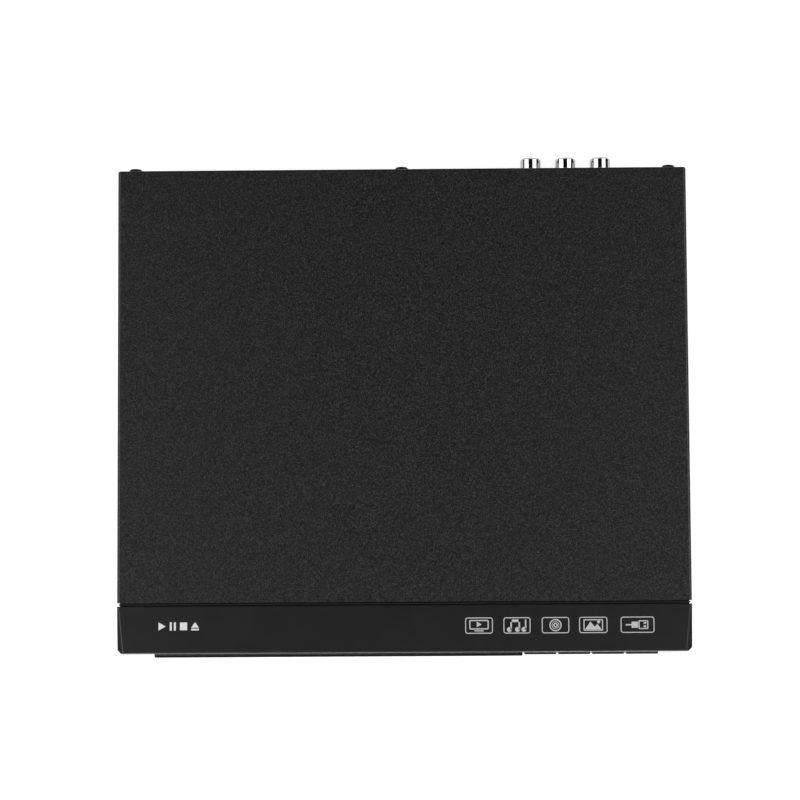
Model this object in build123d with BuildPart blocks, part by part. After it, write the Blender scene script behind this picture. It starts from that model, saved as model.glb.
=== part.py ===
from build123d import *
from math import asin, atan, cos, degrees, pi, radians, sin, tan
import os

os.makedirs("parts", exist_ok=True)

# Overall sizes
body_width = 225.0
body_depth = 190.0
body_height = 40.0
door_proud = 2.5
jack_proud = 7.0

# Sheet metal and clearances
sheet = 0.8
bend_radius = 1.1
slip_gap = 0.3
running_gap = 0.05

# Feet
foot_height = 4.0
foot_radius = 6.5
foot_stud_radius = 2.0
foot_stud_rise = 1.2
foot_edge = 0.8
foot_inset_x = 17.0
foot_inset_front = 28.0
foot_inset_rear = 18.0

# Front bezel
bezel_depth = 17.7
bezel_wall = 2.4
bezel_shell = 2.0
bezel_groove = 1.3
bezel_lip = 6.0
chin_proud = 1.2
brow_setback = 0.55
corner_cut = 1.5
facet_rear = 0.6
facet_width = 2.35
facet_drop = 2.5
rib_gap = 0.35
rib_inset = 0.7
rib_drop = 0.5
bezel_bottom_gap = 0.4

# Tray door
door_left_margin = 14.0
door_side_reach = 6.45
door_height = 15.0
door_bottom = 18.0
door_thickness = 4.0
door_gap = 0.35
door_rim = 1.0
door_end_rim = 0.3

# Keys
key_spacing = 0.7
key_right_margin = 12.9
key_count = 4
key_height = 12.0
key_bottom = 20.5
key_proud = 2.0
key_gap = 0.35
key_flange = 1.0
key_flange_thickness = 1.2
key_stem_radius = 2.0
key_travel = 0.5
first_key_gap = 0.7
key_rim = 0.6
key_end_rim = 0.25

# Remote window, front board and its parts
window_left_share = 0.12
window_right_share = 0.496
window_bottom = 8.6
window_height = 7.4
window_flange = 1.2
board_thickness = 1.6
front_board_gap = 8.85
front_board_margin = 2.5
front_board_bottom = 7.2
front_board_top_gap = 3.5
boss_radius = 2.2
boss_inset_right = 4.9
boss_inset_left = 1.6
boss_inset_z = 3.7
boss_hole_depth = 6.0
boss_screw_depth = 4.8
switch_width = 6.0
switch_depth = 3.4
switch_button_radius = 1.7
switch_button_gap = 0.6
receiver_width = 6.0
receiver_height = 7.0
receiver_depth = 4.5

# Front data socket
usb_share = 0.685
usb_width = 13.1
usb_height = 5.7
usb_shell = 0.4
usb_bottom = 9.6
usb_tongue_height = 1.84
usb_tongue_margin = 0.7
usb_tongue_setback = 1.6
usb_floor = 1.6

# Chassis pan and rear panel
pan_side_height = 10.0
pan_front_height = 2.4
vent_slot_length = 26.0
vent_slot_width = 3.0
vent_slot_pitch = 7.0
vent_slot_count = 7
rear_vent_count = 9
rear_vent_pitch = 6.0
rear_vent_height = 14.0
rear_vent_width = 2.4
rear_lip_height = 9.0
rear_screw_inset = 6.5
rear_screw_drop = 5.2
screw_shank_radius = 1.5
screw_head_radius = 2.75
screw_head_height = 1.4
screw_length = 6.0
dome_share = 0.8
screw_socket_depth = 0.8
recess_width = 0.7
recess_length = 3.0

# Round signal sockets
jack_count = 3
jack_pitch = 14.0
jack_video_gap = 18.5
jack_z = 19.5
jack_radius = 4.15
jack_root_radius = 3.9
jack_bore_radius = 3.35
barrel_edge = 0.6
jack_block_width = 41.0
jack_block_height = 13.0
jack_block_depth = 11.0
jack_collar_radius = 5.1
insulator_bore_radius = 1.75
insulator_setback = 1.2
contact_wall = 0.3

# Video socket
hdmi_inset = 14.0
hdmi_width = 15.0
hdmi_height = 5.6
hdmi_shell = 0.4
hdmi_depth = 11.5
hdmi_lift = 0.8
hdmi_tongue_width = 11.2
hdmi_tongue_height = 1.4
hdmi_tongue_setback = 1.0
hdmi_floor = 3.0
hdmi_foot = 1.6

# Mains inlet
inlet_inset = 21.5
inlet_z = 17.2
inlet_body_width = 23.0
inlet_body_height = 13.0
inlet_body_depth = 17.0
inlet_lobe_pitch = 8.6
inlet_lobe_radius = 4.1
inlet_neck_wall = 1.4
inlet_neck_proud = 1.2
inlet_cavity_depth = 13.0
inlet_pin_radius = 1.2
inlet_pin_setback = 3.0

# Boards
standoff_height = 4.0
standoff_radius = 3.0
board_screw_radius = 1.2
board_screw_head = 2.4
board_screw_head_height = 1.5
board_screw_inset = 4.0
main_board_left_gap = 2.95
main_board_tongue = 3.0
main_board_right_gap = 2.5
main_board_setback = 85.25
main_board_rear_gap = 2.5
main_board_screw_gap = 21.0
power_board_front_gap = 2.2
power_board_right_gap = 3.5

# Parts on the main board: centres as shares of its half width and of its depth, then sizes
chip_height = 1.4
chip_list = [(0, 0.49, 20, 20), (0, 0.32, 16, 8), (0, 0.67, 6, 8), (0, 0.17, 12, 16)]
capacitor_list = [
    (-0.76, 0.36), (-0.76, 0.50), (-0.76, 0.64), (0.76, 0.16), (0.76, 0.26), (0.76, 0.50), (0.76, 0.64),
    (-0.35, 0.775), (0, 0.775), (0.35, 0.775),
]
capacitor_height = 7.0
capacitor_radius = 2.5
capacitor_edge = 0.4
connector_depth = 5.0
connector_height = 5.0
connector_margin = 1.0
front_link_share = 0.2
harness_link_step = 12.0
harness_link_width = 10.0
wire_count = 4
wire_radius = 0.7
ribbon_width = 16.0
ribbon_thickness = 0.4
ribbon_link_height = 3.0
ribbon_reach = 2.0

# Parts on the power board, in their order from the mains inlet, with even gaps between them
strip_single_parts = 4
fuse_lift = 4.0
fuse_half_length = 10.0
fuse_radius = 2.6
fuse_clip_half = 1.5
fuse_clip_inset = 2.5
heatsink_height = 16.0
heatsink_half_length = 10.0
heatsink_back = 2.0
fin_count = 5
fin_thickness = 1.2
fin_reach = 6.0
switch_body_depth = 4.0
switch_body_half = 5.0
store_radius = 6.5
store_height = 16.0
transformer_half = 10.0
transformer_foot = 3.0
transformer_height = 16.0
core_reach = 8.0
core_inset = 1.0
winding_half = 6.0
filter_count = 3
filter_radius = 4.0
filter_height = 12.0

# Loader frame
frame_side_wall = 2.5
frame_side_gap = 0.6
frame_front_gap = 3.35
frame_rear_gap = 2.0
frame_bottom = 6.8
frame_base = 2.0
frame_end_wall = 1.6
frame_boss_inset = 7.0
ledge_width = 3.0
ledge_thickness = 1.8
hook_length = 8.0
hook_reach = 2.0
well_side_gap = 1.3
well_front_gap = 5.3
well_rear_gap = 9.0
cam_wall_thickness = 2.2
cam_wall_half_width = 34.0

# Disc tray
tray_width = 132.0
tray_rear_space = 36.0
tray_bottom = 20.6
tray_height = 6.0
tray_corner = 3.0
tray_front_lip = 8.0
pocket_rim = 5.4
pocket_depth = 2.0
pocket_step = 20.0
small_pocket_extra = 1.0
tray_floor = 2.4
tray_slot_radius = 20.0
tray_slot_rear = 12.0
finger_radius = 11.0
runner_width = 2.2

# Tray drive
gear_module = 1.0
rack_drop = 1.8
rack_width = 4.0
rack_inset = 8.5
tray_gear_small_teeth = 12
tray_gear_large_teeth = 24
pinion_teeth = 10
tooth_share = 0.43
addendum = 0.7
dedendum = 1.0
pressure_angle = radians(20)
flank_steps = 3
gear_setback = 19.75
gear_low_z = 13.0
gear_low_thickness = 3.2
gear_post_radius = 1.5
gear_seat_radius = 3.0
gear_seat_top = 12.6
pulley_radius = 9.5
pulley_groove = 0.7
pulley_z = 19.2
pulley_thickness = 2.2
motor_radius = 10.0
motor_pulley_radius = 2.9
motor_shaft_radius = 1.0
motor_top = 17.8
can_edge = 0.8
belt_length_between = 32.0
belt_half = 0.55

# Clamp bridge and puck
bridge_rise = 1.4
bridge_thickness = 1.0
bridge_width = 34.0
bridge_hole_radius = 13.0
bridge_flange_height = 2.0
bridge_corner = 0.8
bridge_screw_inset = 5.0
bridge_screw_radius = 0.8
bridge_screw_head_height = 1.0
puck_radius = 12.4
puck_flange_radius = 15.5
puck_flange_thickness = 1.4
puck_dome_height = 3.0
puck_dome_radius = 9.0
puck_recess_radius = 8.3
puck_recess_depth = 2.6
puck_drop = 0.9

# Lift frame, traverse chassis and spindle
pivot_rear_gap = 14.25
pivot_z = 18.4
lift_drop = 6.7
lift_half_width = 39.5
lift_inner_half = 31.0
lift_ahead = 17.85
lift_rear = 4.5
lift_ring_ahead = 13.85
lift_inner_rear = 0.2
lift_low = -3.4
lift_high = -1.4
lift_pin_radius = 2.5
lift_pin_reach = 5.2
ear_thickness = 4.0
ear_half_length = 5.0
ear_gap = 0.5
cam_pin_radius = 1.5
cam_pin_w = -0.6
cam_pin_reach = 4.9
cam_lug = 3.0
chassis_half_width = 38.0
chassis_ahead = 16.85
chassis_rear = 3.0
chassis_low = -0.2
chassis_high = 1.0
damper_radius = 5.0
damper_neck_radius = 2.6
damper_post_radius = 1.6
damper_u = 34.5
damper_ahead = 11.85
damper_rear_v = -10.0
damper_top = 1.8
post_top = 2.3
chassis_slot_half = 14.5
slot_behind = 13.65
chassis_slot_rear = -3.0
spindle_hole_radius = 12.0
motor_plate_half = 13.0
motor_plate_thickness = 1.0
bush_radius = 2.6
stator_radius = 9.6
core_low = 0.4
core_top = 3.4
can_low = 0.1
shaft_reach = 1.0
rotor_radius = 11.2
rotor_wall = 0.6
rotor_top = 4.8
shaft_radius = 1.0
turntable_radius = 14.5
turntable_thickness = 2.0
seat_w = 8.0
pad_thickness = 0.4
pad_inner_radius = 10.5
hub_radius = 7.4
hub_top = 10.0
hub_nose_radius = 5.4

# Pickup, rods and lead screw
rod_radius = 1.5
rod_u = 17.5
rod_w = -1.9
rod_behind = 11.15
rod_holder_length = 2.5
pickup_inner_radius = 23.5
pickup_ahead = 8.0
pickup_behind = 10.5
pickup_half_width = 13.5
pickup_low = -6.3
pickup_high = -0.7
bearing_reach = 21.0
bearing_low = -4.4
housing_half = 11.0
housing_half_length = 7.6
housing_top = 3.2
well_half = 6.0
well_floor = 0.3
lens_block_half = 5.4
lens_block_low = 1.3
lens_block_top = 4.0
lens_radius = 2.4
lens_top = 5.0
screw_u = 25.5
lead_screw_radius = 1.2
lead_screw_pitch = 3.0
thread_depth = 0.25
thread_half = 0.45
nut_width = 4.0
nut_half_length = 3.0
nut_bore_gap = 0.3
sled_motor_radius = 5.0
sled_motor_length = 13.0
tab_thickness = 1.0

# Cam slider
cam_travel = 22.0
cam_dwell = 5.0
cam_margin = 4.0
cam_thickness = 3.0
cam_gap = 0.3
cam_bottom = 5.9
cam_top = 21.3
cam_slot_gap = 0.5

# Planes and lines worked out from the sizes
half_width = body_width / 2
total_depth = door_proud + body_depth + jack_proud
front_y = -total_depth / 2 + door_proud
rear_y = front_y + body_depth
bezel_rear_y = front_y + bezel_depth
cover_front_y = bezel_rear_y + bezel_groove
pan_z = foot_height
floor_z = pan_z + sheet
cover_inner_x = half_width - sheet
cover_inner_z = body_height - sheet
panel_rear_y = rear_y - sheet
panel_front_y = panel_rear_y - sheet
pan_half_width = cover_inner_x - slip_gap
pan_front_y = bezel_rear_y + slip_gap

door_left = -half_width + door_left_margin
door_right = door_left + tray_width + 2 * door_side_reach
loader_x = (door_left + door_right) / 2
door_front_y = front_y - door_proud
door_rear_y = door_front_y + door_thickness
tray_front_y = door_rear_y
tray_rear_y = tray_front_y + body_depth - tray_rear_space
pocket_radius = tray_width / 2 - pocket_rim
small_pocket_radius = pocket_radius - pocket_step
tray_top = tray_bottom + tray_height
pocket_z = tray_top - pocket_depth
tray_floor_z = pocket_z - tray_floor
disc_y = tray_front_y + tray_front_lip + pocket_radius
frame_half = tray_width / 2 + frame_side_gap + frame_side_wall
frame_front_y = front_y + bezel_wall + frame_front_gap
frame_rear_y = tray_rear_y + frame_rear_gap
frame_base_top = frame_bottom + frame_base
bridge_z = tray_top + bridge_rise

board_low = floor_z + standoff_height
board_top = board_low + board_thickness
bezel_inner_y = front_y + bezel_wall
front_board_y = bezel_inner_y + front_board_gap
front_board_rear_y = front_board_y + board_thickness
front_board_top = body_height - front_board_top_gap
first_key_x = door_right + first_key_gap
key_pitch = (half_width - key_right_margin - first_key_x + key_spacing) / key_count
key_width = key_pitch - key_spacing
key_side = half_width - door_right
window_left = door_right + key_side * window_left_share
window_right = door_right + key_side * window_right_share
usb_x = door_right + key_side * usb_share
inlet_x = -half_width + inlet_inset
hdmi_x = half_width - hdmi_inset
jack_places = [hdmi_x - jack_video_gap - n * jack_pitch for n in reversed(range(jack_count))]
jack_centre_x = sum(jack_places) / jack_count

pivot_y = frame_rear_y - pivot_rear_gap
spindle_v = disc_y - pivot_y
lift_front = spindle_v - lift_ahead
lift_inner_front = spindle_v - lift_ring_ahead
chassis_front = spindle_v - chassis_ahead
chassis_slot_front = spindle_v + slot_behind
damper_front_v = spindle_v - damper_ahead
rod_front = spindle_v + rod_behind
well_half_width = lift_half_width + well_side_gap
well_front_y = pivot_y + lift_front - well_front_gap
well_rear_y = pivot_y + well_rear_gap
gear_y = tray_front_y + gear_setback
lift_angle = asin(lift_drop / -spindle_v)
lift_plane = Plane(
    origin=(loader_x, pivot_y, pivot_z),
    x_dir=(1, 0, 0),
    z_dir=(0, -sin(lift_angle), cos(lift_angle)),
)
lens_v = spindle_v + pickup_inner_radius


# A box given by its low and high faces
def block(x0, x1, y0, y1, z0, z1, mode=Mode.ADD):
    with Locations(((x0 + x1) / 2, (y0 + y1) / 2, (z0 + z1) / 2)):
        Box(x1 - x0, y1 - y0, z1 - z0, mode=mode)


# An upright round bar
def post(x, y, z0, z1, radius, mode=Mode.ADD):
    with Locations((x, y, (z0 + z1) / 2)):
        Cylinder(radius, z1 - z0, mode=mode)


# A round bar that lies front to back
def bar(x, z, y0, y1, radius, mode=Mode.ADD):
    with Locations(Location((x, (y0 + y1) / 2, z), (90, 0, 0))):
        Cylinder(radius, y1 - y0, mode=mode)


# A round bar that lies side to side
def cross_bar(y, z, x0, x1, radius, mode=Mode.ADD):
    with Locations(Location(((x0 + x1) / 2, y, z), (0, 90, 0))):
        Cylinder(radius, x1 - x0, mode=mode)


# A rounded rectangle pushed up from a level
def rounded_plate(x0, x1, y0, y1, z0, z1, radius, mode=Mode.ADD):
    with BuildSketch(Plane.XY.offset(z0)) as outline:
        with Locations(((x0 + x1) / 2, (y0 + y1) / 2)):
            RectangleRounded(x1 - x0, y1 - y0, radius)
    extrude(outline.sketch, amount=z1 - z0, mode=mode)


# Places of the rear screws
rear_screw_z = body_height - rear_screw_drop
rear_screw_places = [rear_screw_inset - half_width, 0, half_width - rear_screw_inset]

# Top cover
with BuildPart() as top_cover:
    with BuildSketch(Plane.XZ.offset(-cover_front_y)):
        with BuildLine():
            Polyline(
                (-half_width, floor_z),
                (-half_width, body_height),
                (half_width, body_height),
                (half_width, floor_z),
                (cover_inner_x, floor_z),
                (cover_inner_x, cover_inner_z),
                (-cover_inner_x, cover_inner_z),
                (-cover_inner_x, floor_z),
                close=True,
            )
        make_face()
    extrude(amount=-(rear_y - cover_front_y))
    block(-cover_inner_x, cover_inner_x, panel_rear_y, rear_y, body_height - rear_lip_height, cover_inner_z)
    top_edges = top_cover.edges().filter_by(Axis.Y).group_by(Axis.Z)[-1]
    fillet(top_edges, bend_radius)
    rear_edge = top_cover.edges().filter_by(Axis.X).group_by(Axis.Z)[-1].sort_by(Axis.Y)[-1]
    fillet(rear_edge, sheet)
    for x in rear_screw_places:
        bar(x, rear_screw_z, panel_rear_y - sheet, rear_y + sheet, screw_shank_radius, Mode.SUBTRACT)
top_cover.part.label = "top_cover"
export_step(top_cover.part, "parts/top_cover.step")

# Chassis pan with folded sides, vents and standoffs
vent_x0 = (loader_x + frame_half + half_width) / 2 - (vent_slot_count - 1) * vent_slot_pitch / 2
foot_places = [
    (side * (half_width - foot_inset_x), y)
    for side in (-1, 1)
    for y in (front_y + foot_inset_front, rear_y - foot_inset_rear)
]
main_board_right = pan_half_width - main_board_right_gap
main_board_rear = panel_front_y - main_board_rear_gap
power_board_left = -main_board_right
main_board_left = loader_x + frame_half + main_board_left_gap
main_board_front = front_y + main_board_setback
tongue_left = min(main_board_left, jack_centre_x - jack_block_width / 2 - main_board_tongue)
power_board_right = tongue_left - power_board_right_gap
power_board_front = frame_rear_y + power_board_front_gap
power_board_rear = main_board_rear


# The four corners of a board, set in from its edges
def corner_places(x0, x1, y0, y1, inset):
    return [(x, y) for x in (x0 + inset, x1 - inset) for y in (y0 + inset, y1 - inset)]


main_board_screw_rear = main_board_rear - main_board_screw_gap
main_board_places = corner_places(
    main_board_left, main_board_right, main_board_front, main_board_screw_rear, board_screw_inset
)
power_board_places = corner_places(
    power_board_left, power_board_right, power_board_front, power_board_rear, board_screw_inset
)
frame_boss_front = pan_front_y + frame_boss_inset
frame_boss_rear = frame_rear_y - frame_boss_inset
frame_places = corner_places(
    loader_x - frame_half + frame_boss_inset, loader_x + frame_half - frame_boss_inset,
    frame_boss_front, frame_boss_rear, 0,
)
with BuildPart() as chassis_pan:
    block(-pan_half_width, pan_half_width, pan_front_y, panel_rear_y, pan_z, floor_z)
    for side in (-1, 1):
        wall_in = side * (pan_half_width - sheet)
        wall_out = side * pan_half_width
        block(
            min(wall_in, wall_out), max(wall_in, wall_out),
            pan_front_y, panel_front_y - slip_gap, pan_z, pan_z + pan_side_height,
        )
    block(-pan_half_width, pan_half_width, pan_front_y, pan_front_y + sheet, pan_z, pan_z + pan_front_height)
    for x, y in main_board_places + power_board_places:
        post(x, y, floor_z, board_low, standoff_radius)
        post(x, y, pan_z, board_low, board_screw_radius, Mode.SUBTRACT)
    for x, y in frame_places:
        post(x, y, floor_z, frame_bottom, standoff_radius)
        post(x, y, pan_z, frame_bottom, board_screw_radius, Mode.SUBTRACT)
    for x, y in foot_places:
        post(x, y, pan_z, floor_z, foot_stud_radius, Mode.SUBTRACT)
    with BuildSketch(Plane.XY.offset(pan_z)):
        for n in range(vent_slot_count):
            with Locations((vent_x0 + n * vent_slot_pitch, main_board_front - vent_slot_length)):
                SlotOverall(vent_slot_length, vent_slot_width, rotation=90)
    extrude(amount=sheet, mode=Mode.SUBTRACT)
chassis_pan.part.label = "chassis_pan"
export_step(chassis_pan.part, "parts/chassis_pan.step")

# Rubber feet, each with a stud through the pan
with BuildPart() as feet:
    for x, y in foot_places:
        post(x, y, 0, foot_height, foot_radius)
    chamfer(feet.edges().group_by(Axis.Z)[0], foot_edge)
    for x, y in foot_places:
        post(x, y, foot_height, floor_z, foot_stud_radius)
        post(x, y, floor_z, floor_z + foot_stud_rise, foot_stud_radius + foot_edge)
feet.part.label = "feet"
export_step(feet.part, "parts/feet.step")

# Rear panel with cut-outs for the sockets
inlet_neck_half = inlet_lobe_pitch / 2 + inlet_lobe_radius + inlet_neck_wall
inlet_neck_radius = inlet_lobe_radius + inlet_neck_wall
hdmi_z = board_top + hdmi_lift + hdmi_height / 2
with BuildPart() as rear_panel:
    block(-pan_half_width, pan_half_width, panel_front_y, panel_rear_y, floor_z, cover_inner_z - slip_gap)
    block(
        -pan_half_width, pan_half_width, panel_front_y - sheet, panel_front_y,
        rear_screw_z - screw_head_radius, cover_inner_z - slip_gap,
    )
    for x in rear_screw_places:
        bar(x, rear_screw_z, panel_front_y - sheet, panel_rear_y, screw_shank_radius, Mode.SUBTRACT)
    for x in jack_places:
        bar(x, jack_z, panel_front_y, panel_rear_y, jack_collar_radius + slip_gap, Mode.SUBTRACT)
    block(
        hdmi_x - hdmi_width / 2 - slip_gap, hdmi_x + hdmi_width / 2 + slip_gap,
        panel_front_y, panel_rear_y,
        hdmi_z - hdmi_height / 2 - slip_gap, hdmi_z + hdmi_height / 2 + slip_gap,
        Mode.SUBTRACT,
    )
    with BuildSketch(Plane.XZ.offset(-panel_front_y)):
        with Locations((inlet_x, inlet_z)):
            SlotOverall(2 * (inlet_neck_half + slip_gap), 2 * (inlet_neck_radius + slip_gap))
        for n in range(rear_vent_count):
            with Locations((loader_x + (n - rear_vent_count // 2) * rear_vent_pitch, jack_z)):
                SlotOverall(rear_vent_height, rear_vent_width, rotation=90)
    extrude(amount=-sheet, mode=Mode.SUBTRACT)
rear_panel.part.label = "rear_panel"
export_step(rear_panel.part, "parts/rear_panel.step")

# Rear cover screws with domed heads and cross recesses
with BuildPart() as rear_screws:
    for x in rear_screw_places:
        bar(x, rear_screw_z, rear_y, rear_y + screw_head_height, screw_head_radius)
    dome_edges = rear_screws.edges().filter_by(GeomType.CIRCLE).group_by(Axis.Y)[-1]
    fillet(dome_edges, screw_head_height * dome_share)
    for x in rear_screw_places:
        bar(x, rear_screw_z, rear_y - screw_length, rear_y, screw_shank_radius)
        for wide, tall in ((recess_length, recess_width), (recess_width, recess_length)):
            block(
                x - wide / 2, x + wide / 2,
                rear_y + screw_head_height - screw_socket_depth, rear_y + screw_head_height,
                rear_screw_z - tall / 2, rear_screw_z + tall / 2,
                Mode.SUBTRACT,
            )
rear_screws.part.label = "rear_screws"
export_step(rear_screws.part, "parts/rear_screws.step")

# Front bezel: open-backed shell with a proud chin, cut corners, side facets and a rib in its rear groove
chin_y = front_y - chin_proud
bezel_bottom = pan_z + bezel_bottom_gap
chin_top = door_bottom + door_height
lip_end_y = cover_front_y + bezel_lip
usb_left = usb_x - usb_width / 2
usb_right = usb_x + usb_width / 2
usb_top = usb_bottom + usb_height
window_top = window_bottom + window_height
board_boss_places = [
    (half_width - boss_inset_right, front_board_top - boss_inset_z),
    (half_width - boss_inset_right, front_board_bottom + boss_inset_z),
    (door_right + boss_inset_left, front_board_bottom + boss_inset_z),
]
with BuildPart() as front_bezel:
    with BuildSketch(Plane.YZ.offset(-half_width)):
        with BuildLine():
            Polyline(
                (bezel_rear_y, bezel_bottom),
                (chin_y + chin_proud, bezel_bottom),
                (chin_y, bezel_bottom + chin_proud),
                (chin_y, chin_top),
                (chin_y + brow_setback, body_height),
                (bezel_rear_y, body_height),
                close=True,
            )
        make_face()
    extrude(amount=body_width)
    corner_edges = front_bezel.edges().filter_by(Axis.Z).group_by(Axis.Y)[0]
    chamfer(corner_edges, corner_cut)
    for side in (-1, 1):
        edge_rear = Vector(side * (half_width - facet_rear), bezel_rear_y, body_height)
        edge_front = Vector(side * (half_width - facet_width), front_y, body_height)
        side_front = Vector(side * half_width, front_y, body_height - facet_drop)
        across = (edge_front - edge_rear).cross(side_front - edge_rear) * side
        facet = Plane(origin=edge_rear, x_dir=edge_front - edge_rear, z_dir=across)
        kept = Keep.BOTTOM if across.Z > 0 else Keep.TOP
        split(bisect_by=facet, keep=kept)
    block(
        -half_width + bezel_shell, half_width - bezel_shell, bezel_inner_y, bezel_rear_y,
        bezel_bottom + bezel_shell, body_height - bezel_shell, Mode.SUBTRACT,
    )
    lip_x = cover_inner_x - slip_gap
    lip_z = cover_inner_z - slip_gap
    rib_x = half_width - rib_inset
    rib_top = body_height - rib_drop
    rib_front = bezel_rear_y + rib_gap
    rib_rear = cover_front_y - rib_gap
    block(-lip_x, lip_x, bezel_rear_y - bezel_shell, lip_end_y, lip_z - bezel_shell, lip_z)
    for side in (-1, 1):
        lip_faces = sorted((side * lip_x, side * (lip_x - bezel_shell)))
        block(*lip_faces, bezel_rear_y - bezel_shell, lip_end_y, pan_z + pan_side_height + slip_gap, lip_z)
        rib_faces = sorted((side * rib_x, side * (lip_x - bezel_shell)))
        block(*rib_faces, rib_front, rib_rear, pan_z + pan_side_height + slip_gap, rib_top)
    block(-lip_x, lip_x, rib_front, rib_rear, lip_z - bezel_shell, rib_top)
    block(
        door_left - door_gap, door_right + door_gap, chin_y - sheet, bezel_inner_y,
        door_bottom - door_gap, chin_top + door_gap, Mode.SUBTRACT,
    )
    for n in range(key_count):
        key_left = first_key_x + n * key_pitch
        block(
            key_left - key_gap, key_left + key_width + key_gap, chin_y - sheet, bezel_inner_y,
            key_bottom - key_gap, key_bottom + key_height + key_gap, Mode.SUBTRACT,
        )
    block(window_left, window_right, chin_y - sheet, bezel_inner_y, window_bottom, window_top, Mode.SUBTRACT)
    block(
        usb_left - slip_gap, usb_right + slip_gap, chin_y - sheet, bezel_inner_y,
        usb_bottom - slip_gap, usb_top + slip_gap, Mode.SUBTRACT,
    )
    for x, z in board_boss_places:
        bar(x, z, bezel_inner_y, front_board_y, boss_radius)
        bar(x, z, front_board_y - boss_hole_depth, front_board_y, board_screw_radius, Mode.SUBTRACT)
front_bezel.part.label = "front_bezel"
export_step(front_bezel.part, "parts/front_bezel.step")

# Remote-control window with a flange behind the bezel wall
with BuildPart() as ir_window:
    block(window_left, window_right, chin_y, bezel_inner_y, window_bottom, window_top)
    block(
        window_left - window_flange, window_right + window_flange,
        bezel_inner_y, bezel_inner_y + window_flange,
        window_bottom - window_flange, window_top + window_flange,
    )
ir_window.part.label = "ir_window"
export_step(ir_window.part, "parts/ir_window.step")

# Tray door: proud strip with chamfered edges
with BuildPart() as tray_door:
    block(door_left, door_right, door_front_y, door_rear_y, door_bottom, chin_top)
    chamfer(tray_door.faces().sort_by(Axis.Y)[0].edges().filter_by(Axis.X), door_rim)
    chamfer(tray_door.faces().sort_by(Axis.Y)[0].edges().filter_by(Axis.Z), door_end_rim)
tray_door.part.label = "tray_door"
export_step(tray_door.part, "parts/tray_door.step")

# Keys, each with a flange behind the bezel and a stem that reaches its switch
key_names = ["open_close_key", "play_key", "stop_key", "power_key"]
key_front_y = front_y - key_proud
switch_button_y = front_board_y - switch_depth - switch_button_gap
key_centre_z = key_bottom + key_height / 2
key_centres = [first_key_x + n * key_pitch + key_width / 2 for n in range(key_count)]
for key_name, key_x in zip(key_names, key_centres):
    with BuildPart() as key:
        block(
            key_x - key_width / 2, key_x + key_width / 2, key_front_y, bezel_inner_y + slip_gap,
            key_bottom, key_bottom + key_height,
        )
        chamfer(key.faces().sort_by(Axis.Y)[0].edges().filter_by(Axis.X), key_rim)
        chamfer(key.faces().sort_by(Axis.Y)[0].edges().filter_by(Axis.Z), key_end_rim)
        block(
            key_x - key_width / 2, key_x + key_width / 2,
            bezel_inner_y + slip_gap, bezel_inner_y + slip_gap + key_flange_thickness,
            key_bottom - key_flange, key_bottom + key_height + key_flange,
        )
        bar(
            key_x, key_centre_z, bezel_inner_y + slip_gap + key_flange_thickness,
            switch_button_y - key_travel - running_gap, key_stem_radius,
        )
    key.part.label = key_name
    export_step(key.part, f"parts/{key_name}.step")

# Front board, upright behind the keys
front_board_left = door_right - door_gap
with BuildPart() as front_board:
    block(
        front_board_left, half_width - front_board_margin, front_board_y, front_board_rear_y,
        front_board_bottom, front_board_top,
    )
    for x, z in board_boss_places:
        bar(x, z, front_board_y, front_board_rear_y, board_screw_radius, Mode.SUBTRACT)
front_board.part.label = "front_board"
export_step(front_board.part, "parts/front_board.step")

# Push switches on the front board
with BuildPart() as tact_switches:
    for key_x in key_centres:
        block(
            key_x - switch_width / 2, key_x + switch_width / 2, front_board_y - switch_depth, front_board_y,
            key_centre_z - switch_width / 2, key_centre_z + switch_width / 2,
        )
        bar(key_x, key_centre_z, switch_button_y, front_board_y - switch_depth, switch_button_radius)
tact_switches.part.label = "tact_switches"
export_step(tact_switches.part, "parts/tact_switches.step")

# Remote-control receiver with its round lens
receiver_x = window_left + (window_right - window_left) / 3
receiver_z = window_bottom + window_height / 2
with BuildPart() as ir_receiver:
    block(
        receiver_x - receiver_width / 2, receiver_x + receiver_width / 2,
        front_board_y - receiver_depth, front_board_y,
        receiver_z - receiver_height / 2, receiver_z + receiver_height / 2,
    )
    with Locations((receiver_x, front_board_y - receiver_depth, receiver_z)):
        Sphere(receiver_width / 3)
    block(
        receiver_x - receiver_width / 2, receiver_x + receiver_width / 2,
        front_board_y, front_board_rear_y + receiver_depth,
        receiver_z - receiver_height / 2, receiver_z + receiver_height / 2, Mode.SUBTRACT,
    )
ir_receiver.part.label = "ir_receiver"
export_step(ir_receiver.part, "parts/ir_receiver.step")

# Front data socket: a thin metal shell that stands on the front board
usb_mouth_y = chin_y + slip_gap
with BuildPart() as usb_socket:
    block(usb_left, usb_right, usb_mouth_y, front_board_y, usb_bottom, usb_top)
    block(
        usb_left + usb_shell, usb_right - usb_shell, usb_mouth_y, front_board_y,
        usb_bottom + usb_shell, usb_top - usb_shell, Mode.SUBTRACT,
    )
usb_socket.part.label = "usb_socket"
export_step(usb_socket.part, "parts/usb_socket.step")

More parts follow.
